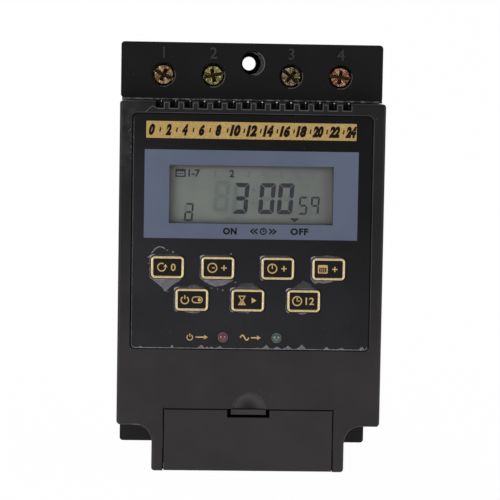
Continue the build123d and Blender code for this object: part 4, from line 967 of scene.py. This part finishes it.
# %% Film pockets
keys_at = {name: spot_of(f"key_{name}") for name in key_names}
pockets = (("below", "film_pocket", {
    "reset": [(-4.4, -3.3), (4.1, -3.28), (2.65, -4.2), (0.45, -5.95), (-0.35, -6.9), (-0.75, -6.7),
              (-1.3, -5.8), (-2.9, -4.45)],
    "hour": [(-4.4, -3.28), (4.7, -3.28), (3.4, -4.0), (1.9, -4.85), (-0.45, -5.3), (-2.25, -4.75),
             (-3.6, -4.0)],
    "week": [(-4.9, -2.9), (-4.1, -3.28), (1.7, -3.3), (0.3, -3.7), (-1.45, -4.1), (-2.8, -3.85),
             (-3.8, -4.15), (-4.45, -3.5)],
}), ("above", "film_thin", {
    "manual": [(-1.6, 3.28), (2.75, 3.28), (2.3, 3.6), (1.15, 4.2), (0.2, 4.3), (-1.0, 3.7)],
    "timer": [(-3.1, 3.28), (2.8, 3.28), (2.0, 4.1), (1.2, 4.9), (-1.55, 4.85), (-2.55, 4.3)],
    "clock": [(-3.4, 3.28), (3.2, 3.28), (1.65, 4.9), (-0.35, 5.6), (-2.25, 4.1)],
    "week": [(-2.4, 3.28), (2.0, 3.28), (1.2, 3.7), (-0.6, 3.95), (-1.8, 3.6)],
}), ("below", "film_pocket", {
    "manual": [(-2.1, -3.28), (2.45, -3.28), (1.3, -3.75), (0.3, -3.85), (-1.1, -3.6)],
    "timer": [(-3.0, -3.28), (1.3, -3.28), (0.15, -3.6), (-1.8, -3.5)],
    "clock": [(-2.3, -3.28), (1.4, -3.28), (0.05, -3.75), (-0.55, -3.85)],
}))
film_lift, rim_lift = 0.1, 0.06


def ragged(outline, step=0.5, swing=0.09):
    """Breaks the straight sides of an outline into short, slightly uneven ones."""
    chance = random.Random(len(outline) * 7)
    points = []
    for i, start in enumerate(outline):
        start, end = Vector(start), Vector(outline[(i + 1) % len(outline)])
        count = max(1, int((end - start).length / step))
        points.append(tuple(start))
        for part in range(1, count):
            shift = Vector((chance.uniform(-swing, swing), chance.uniform(-swing, swing)))
            points.append(tuple(start.lerp(end, part / count) + shift))
    return points


for side, finish, outlines in pockets:
    for name, outline in outlines.items():
        on_panel(f"film_{side}_{name}", moved([ragged(outline)], keys_at[name]), film_lift, finish)
print("pockets:", sum(len(outlines) for *_, outlines in pockets))


# %% [markdown]
# Crumbs of the film lie round the upper keys, and one strip has curled up. The film also
# clings to the left side of each key, and it is thickest round the corners. These marks are
# too small to need more than a few corners each.

# %% Crumbs and creases
crumbs = []
for name, spots in {
    "reset": [(-0.1, 4.7, 0.22), (1.5, 4.25, 0.25), (-5.3, 2.75, 0.2), (-5.3, 1.0, 0.18), (0.2, -6.8, 0.15)],
    "hour": [(-1.65, -5.7, 0.2), (0.1, -6.0, 0.17), (1.5, -6.3, 0.24), (5.0, -4.0, 0.22), (3.6, 3.9, 0.2)],
    "minute": [(-4.9, 3.3, 0.16)],
}.items():
    for x, z, radius in spots:
        outline = [(radius * math.cos(a) * 1.3, radius * math.sin(a)) for a in (0.3, 1.2, 2.4, 3.6, 4.6, 5.6)]
        crumbs += moved([outline], (keys_at[name][0] + x, keys_at[name][1] + z))
curl = [(-4.4, 3.9), (-3.9, 4.5), (-3.4, 5.15), (-2.4, 5.65), (-1.3, 5.5), (-0.7, 5.05)]
crumbs += moved(stroke(curl, 0.36), keys_at["reset"])
on_panel("film_crumbs", crumbs, film_lift, "film_crease")

left_side, lower_corner = slice(8, 20), slice(16, 20)
creases, corners, tops = [], [], []
blob = [(-5.05, 2.5), (-4.95, 3.2), (-4.35, 3.5), (-3.5, 3.5), (-4.2, 3.2), (-4.7, 2.7)]
blob = ragged(blob, 0.3, 0.06)
for spot in keys_at.values():
    crease = rounded(spot, (9.75, 6.75), 1.1, 6)
    creases += stroke(crease[left_side], 0.2)
    corners += stroke(crease[lower_corner], 0.24) + moved([blob], spot)
    tops += moved(stroke([(-3.6, 3.4), (3.2, 3.4)], 0.4), spot)
on_panel("film_creases", creases, rim_lift, "film_rim")
on_panel("film_corners", corners, film_lift, "film_blob", film_lift - rim_lift)
on_panel("film_tops", tops, rim_lift, "film_thin")
print("crumbs:", len(crumbs), "creases:", len(creases))


# %% [markdown]
# Along the foot of the panel the film tore, so it leaves a pale line with small teeth, and a
# fainter one up the left side. Each tooth is given by its two ends and its height.

# %% Torn edge
rim_width, rim_inset, rim_drop, rim_corner = 0.22, 0.17, 0.5, 1.0
rim_centre = (panel_middle[0], panel_middle[1] - rim_drop / 2)
rim_size = (panel_size[0] - 2 * rim_inset, panel_size[1] - rim_drop - rim_inset)
edge_line = rounded(rim_centre, rim_size, rim_corner, 5)
foot_part, left_part, line_lift = slice(13, 23), slice(9, 13), 0.05
on_panel("film_foot", stroke(edge_line[foot_part], rim_width), line_lift, "film_crease")
on_panel("film_side", stroke(edge_line[left_part], rim_width), line_lift, "film_ghost")
foot = panel_low.z + 0.12
teeth = [
    (-31.5, -29.6, 0.35), (-22.0, -21.3, 0.7), (-14.6, -12.6, 0.95), (-12.4, -11.4, 0.4),
    (-11.4, -9.9, 0.45), (-9.4, -7.4, 0.7), (1.4, 3.0, 0.3), (3.2, 5.8, 1.1), (6.2, 8.9, 0.6),
    (9.2, 11.9, 0.9), (13.0, 15.9, 1.35), (20.7, 22.3, 0.7), (24.4, 26.8, 0.5), (30.6, 32.2, 0.9),
]
torn = []
for left, right, rise in teeth:
    peak = left + (right - left) * 0.55
    torn.append([(left, foot), (right, foot), (peak + 0.35, foot + rise * 0.8), (peak, foot + rise),
                 (peak - 0.5, foot + rise * 0.55)])
on_panel("film_teeth", torn, film_lift, "film_crease")
print("teeth:", len(teeth), "along", round(rim_size[0], 1), "mm")


# %% [markdown]
# The slots of the vents end in sharp edges that have picked up dust and wear, so they show as
# fine pale lines, and their pale colour is partly that wear and partly a painted highlight. A line
# of paint would lie flat, so a thin ridge that follows the slots gives them a real edge.

# %% Vent edges
def ridge(name, path, width, height, front, finish, lean=0.0):
    """A low ridge with sloping sides along a path. lean is how much deeper its right side lies."""
    rows = []
    for left, right in rails(path, width):
        rows.append([])
        for share, up in ((0.0, 0.0), (0.3, 1.0), (0.7, 1.0), (1.0, 0.0)):
            x, z = Vector(left).lerp(Vector(right), share)
            rows[-1].append((x, front + lean * share - height * up, z))
    skin(name, rows, finish)


cover_low, cover_high = limits("front_cover")
vent_total, vent_step, vent_foot = 14, 4.0, 101.5
vent_side, vent_top = 1.35, cover_high.z - 0.45
first_vent = -(vent_total - 1) / 2 * vent_step
path = [(first_vent - 3.8, 100.55), (first_vent - 1.9, vent_foot + 0.7)]
for number in range(vent_total):
    x = first_vent + number * vent_step
    near = vent_side if number else 0.6
    path += [(x - near, vent_foot), (x + vent_side, vent_foot), (x + vent_side, vent_top),
             (x + vent_step - vent_side, vent_top)]
path[-2:] = [(x + vent_side + 0.01, vent_top)]
ridge("vent_edge", path, 0.15, 0.04, cover_low.y, "worn_edge")
print("vent slots:", vent_total, "one every", vent_step, "mm")


# %% [markdown]
# The top edge of the panel's recess, the round notches at the lower corners and the right sides of
# the rims of the holes in the terminal face get pale ridges too, painted as highlights, and a dark
# sheet in the groove round the panel is painted shade. The front's outer edge is rounded, so a
# ridge near it has to lie deeper on its outer side.

# %% Painted highlights and shade on other edges
recess_gap = 0.35
recess_line = rounded(panel_middle, [side + 2 * recess_gap + 0.24 for side in panel_size], 1.6, 5)
# Painted highlight along the top edge of the recess.
ridge("recess_edge", recess_line[-1:] + recess_line[:8], 0.16, 0.03, cover_low.y, "edge_shine")
groove = rounded(panel_middle, [side + recess_gap for side in panel_size], 1.3, 5)
# Painted shade: a near-black sheet in the groove round the panel.
sheet_piece("groove_dirt", stroke(groove[5:19], recess_gap), panel_face + 0.12, 0.1, "old_dirt")

notch_middle, notch_radius = (31.6, 8.6), 4.5
inner_drop, outer_drop = 0.24, 0.52
bend = arc(notch_middle, notch_radius + 0.14, 88, 182, 14)
for side, way, near, far in (("left", -1, inner_drop, outer_drop), ("right", 1, outer_drop, inner_drop)):
    path = [(way * x, z) for x, z in [(36.4, notch_middle[1] + notch_radius + 0.14)] + bend]
    ridge(f"notch_edge_{side}", path, 0.18, 0.03, cover_low.y + near, "edge_shine", far - near)
# Painted highlight: a small white glint on the edge of the left notch.
glint = [(32.2, notch_middle[1] + notch_radius + 0.12)] + arc(notch_middle, notch_radius + 0.12, 92, 104, 4)
ridge("notch_chip", [(-x, z) for x, z in glint], 0.12, 0.05, cover_low.y + inner_drop, "white_dust",
      outer_drop - inner_drop)

screw_hole, mount_hole, mount_spot = 3.3, 3.36, (0.1, 114.35)
# Painted highlight on the right side of each hole's rim.
for number in terminals:
    painted_light_rim = arc(spot_of(f"terminal_screw_{number}"), screw_hole, -105, 20, 18)
    ridge(f"hole_rim_{number}", painted_light_rim, 0.18, 0.04, terminal_face, "worn_edge")
ridge("mount_rim", arc(mount_spot, mount_hole, -80, 65, 20), 0.24, 0.05, terminal_face, "worn_edge")
print("notches of", notch_radius, "mm and screw holes of", screw_hole, "mm radius")


# %% [markdown]
# Dust gathers where a cloth can't reach: on the ledge under the terminal block, where its pale
# strip is also painted light on a ledge in shade, and in specks beside the panel. Inside each vent
# a small rib carries a bright tip, a painted highlight.

# %% Dust, painted light and highlights
# Dust and painted light: a pale strip on the ledge, which lies in shade.
ledge_height = cover_high.z + 0.34
ridge("ledge_dust", [(-36.3, ledge_height), (36.3, ledge_height)], 0.5, 0.15, terminal_face, "old_dust")
specks = []
for x, z, radius in (
    (-34.3, 95.1, 0.12), (-33.9, 95.6, 0.14), (-34.1, 94.2, 0.1), (-33.75, 93.7, 0.11), (-33.8, 92.6, 0.09),
    (-33.75, 90.8, 0.13), (-33.8, 89.4, 0.1), (-33.75, 87.6, 0.12), (-34.6, 97.6, 0.08), (34.2, 99.6, 0.08),
):
    angles = (0.3, 1.6, 2.7, 4.1, 5.3)
    specks.append([(x + radius * math.cos(a), z + radius * math.sin(a) * 1.5) for a in angles])
sheet_piece("dust_specks", specks, cover_low.y - 0.03, 0.03, "film_crease")
rib_front, rib_depth, rib_half, rib_shift = cover_low.y + 1.3, 4.0, 0.17, 0.5
rib_foot, rib_head, tip_height = 102.1, 103.5, 103.62
ribs, tips = [], []
for number in range(vent_total):
    x = first_vent + number * vent_step + rib_shift
    ribs.append(bar(x - rib_half, rib_foot, x + rib_half, rib_head))
    # Painted highlight: each rib's tip is a white dot.
    tips.append(disc((x, tip_height), 0.12 if number < 3 else 0.2, 7))
sheet_piece("vent_ribs", ribs, rib_front, rib_depth, "case_plastic")
sheet_piece("vent_rib_tips", tips, rib_front - 0.05, 0.4, "white_dust")
print("specks:", len(specks), "ribs:", len(ribs))


# %% [markdown]
# The battery cover closes against a step in the side walls of its bay. The step keeps dust
# out, and no daylight comes through the thin gap beside the cover. Each step is a small bar
# with bevelled front corners, narrow at its foot where the cover's floor passes. Near-black
# sheets lie in the gap, a little over its edges and along the lid's top edge, as painted shade
# that darkens the gap line. A small fill closes the lower corner of the terminal block.

# %% Steps beside the battery cover
cover_half_width, cover_gap = 23.55, 0.25
step_foot, step_waist, step_head = 0.12, 1.95, 15.0
step_front, step_back, thin_lip, wide_lip = -25.4, -24.0, 0.02, -0.25
wall = cover_half_width + cover_gap + 0.05
lid_low, lid_high = limits("battery_cover")
bay_top = lid_high.z
slit_inner, slit_outer = cover_half_width + 0.02, cover_half_width + cover_gap + 0.03
slit_foot, latch_side, lid_side, lid_shade_depth = 0.7, 5.6, 23.4, 0.42
for side, way in (("left", -1), ("right", 1)):
    rows = []
    for z, lip in ((step_foot, thin_lip), (step_waist, thin_lip), (step_waist + 0.1, wide_lip),
                   (step_head, wide_lip)):
        lip += cover_half_width
        profile = [(wall, step_front), (lip + 0.08, step_front), (lip, step_front + 0.1),
                   (lip, step_back - 0.3), (wall, step_back)]
        rows.append([(way * x, y, z) for x, y in profile])
    skin(f"bay_step_{side}", rows, "case_plastic")


def mirrored(left, low, right, high):
    """The same bar on both sides of the middle."""
    return [bar(way * left, low, way * right, high) for way in (-1, 1)]


# Painted shade: near-black sheets in the slits, a little over their edges and along the lid's top edge.
slits = mirrored(slit_inner, slit_foot, slit_outer, bay_top)
slits += mirrored(latch_side, bay_top + 0.02, slit_outer, bay_top + 0.24)
edge_shades = []
for low, high, wide in ((0.8, 6.6, 0.16), (6.6, 11.8, 0.04), (11.8, bay_top + 0.3, 0.12)):
    edge_shades += mirrored(slit_outer, low, slit_outer + wide, high)
lid_edge = mirrored(latch_side, bay_top - lid_shade_depth, lid_side, bay_top - 0.01)
sheet_piece("slit_dirt", slits, cover_low.y + 0.3, 2.2, "old_dirt")
sheet_piece("slit_smears", edge_shades, cover_low.y - 0.02, 0.02, "old_dirt")
sheet_piece("lid_edge_dirt", lid_edge, lid_low.y - 0.015, 0.015, "old_dirt", "battery_cover")
block_inner, block_outer, block_low, block_high = 35.6, 36.97, cover_high.z + 0.02, 106.0
block_foot = [(block_inner, block_low), (block_outer, block_low), (block_outer, block_high - 0.3),
              (block_outer - 0.37, block_high), (block_inner, block_high)]
sheet_piece("block_foot", [block_foot], terminal_face + 0.02, 3.0, "base_plastic")
print("dirt along the slits:", len(slits) + len(edge_shades), "strips")


# %% [markdown]
# A small coil spring behind the foot of the case holds the rail clip up. Its lower end rests
# on the case and its upper end in the clip, so pulling the clip down presses the coil shorter.
# A wound wire is a ring of points carried along a helix, with the end turns wound flat. The
# coil is made again here in place of the CAD spring, with a mesh of its own.

# %% Rail clip spring
wire, turns, turn_steps, wire_sides = 0.4, 12, 24, 8
spring_low, spring_high = limits("rail_clip_spring")
spring_middle = (spring_low + spring_high) / 2
coil_radius = (spring_high.x - spring_low.x - wire) / 2


def coil_height(turn):
    """Height of the wire's middle after so many turns, with one flat turn at each end."""
    foot, head = spring_low.z + wire / 2, spring_high.z - wire / 2
    if turn < 1:
        return foot + 0.9 * wire * turn
    if turn > turns - 1:
        return head - 0.9 * wire * (turns - turn)
    share = (turn - 1) / (turns - 2)
    return foot + 0.9 * wire + (head - foot - 1.8 * wire) * share


rings = []
for step in range(turns * turn_steps + 1):
    turn = step / turn_steps
    outward = Vector((math.cos(2 * math.pi * turn), math.sin(2 * math.pi * turn), 0))
    centre = Vector((spring_middle.x, spring_middle.y, coil_height(turn))) + outward * coil_radius
    section = disc((0, 0), wire / 2, wire_sides)
    rings.append([centre + outward * out + Vector((0, 0, up)) for out, up in section])
clip_spring = skin("clip_spring", rings, "nickel_plate")
clip_spring.data.shade_smooth()
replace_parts(clip_spring, "rail_clip_spring")
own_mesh(clip_spring)
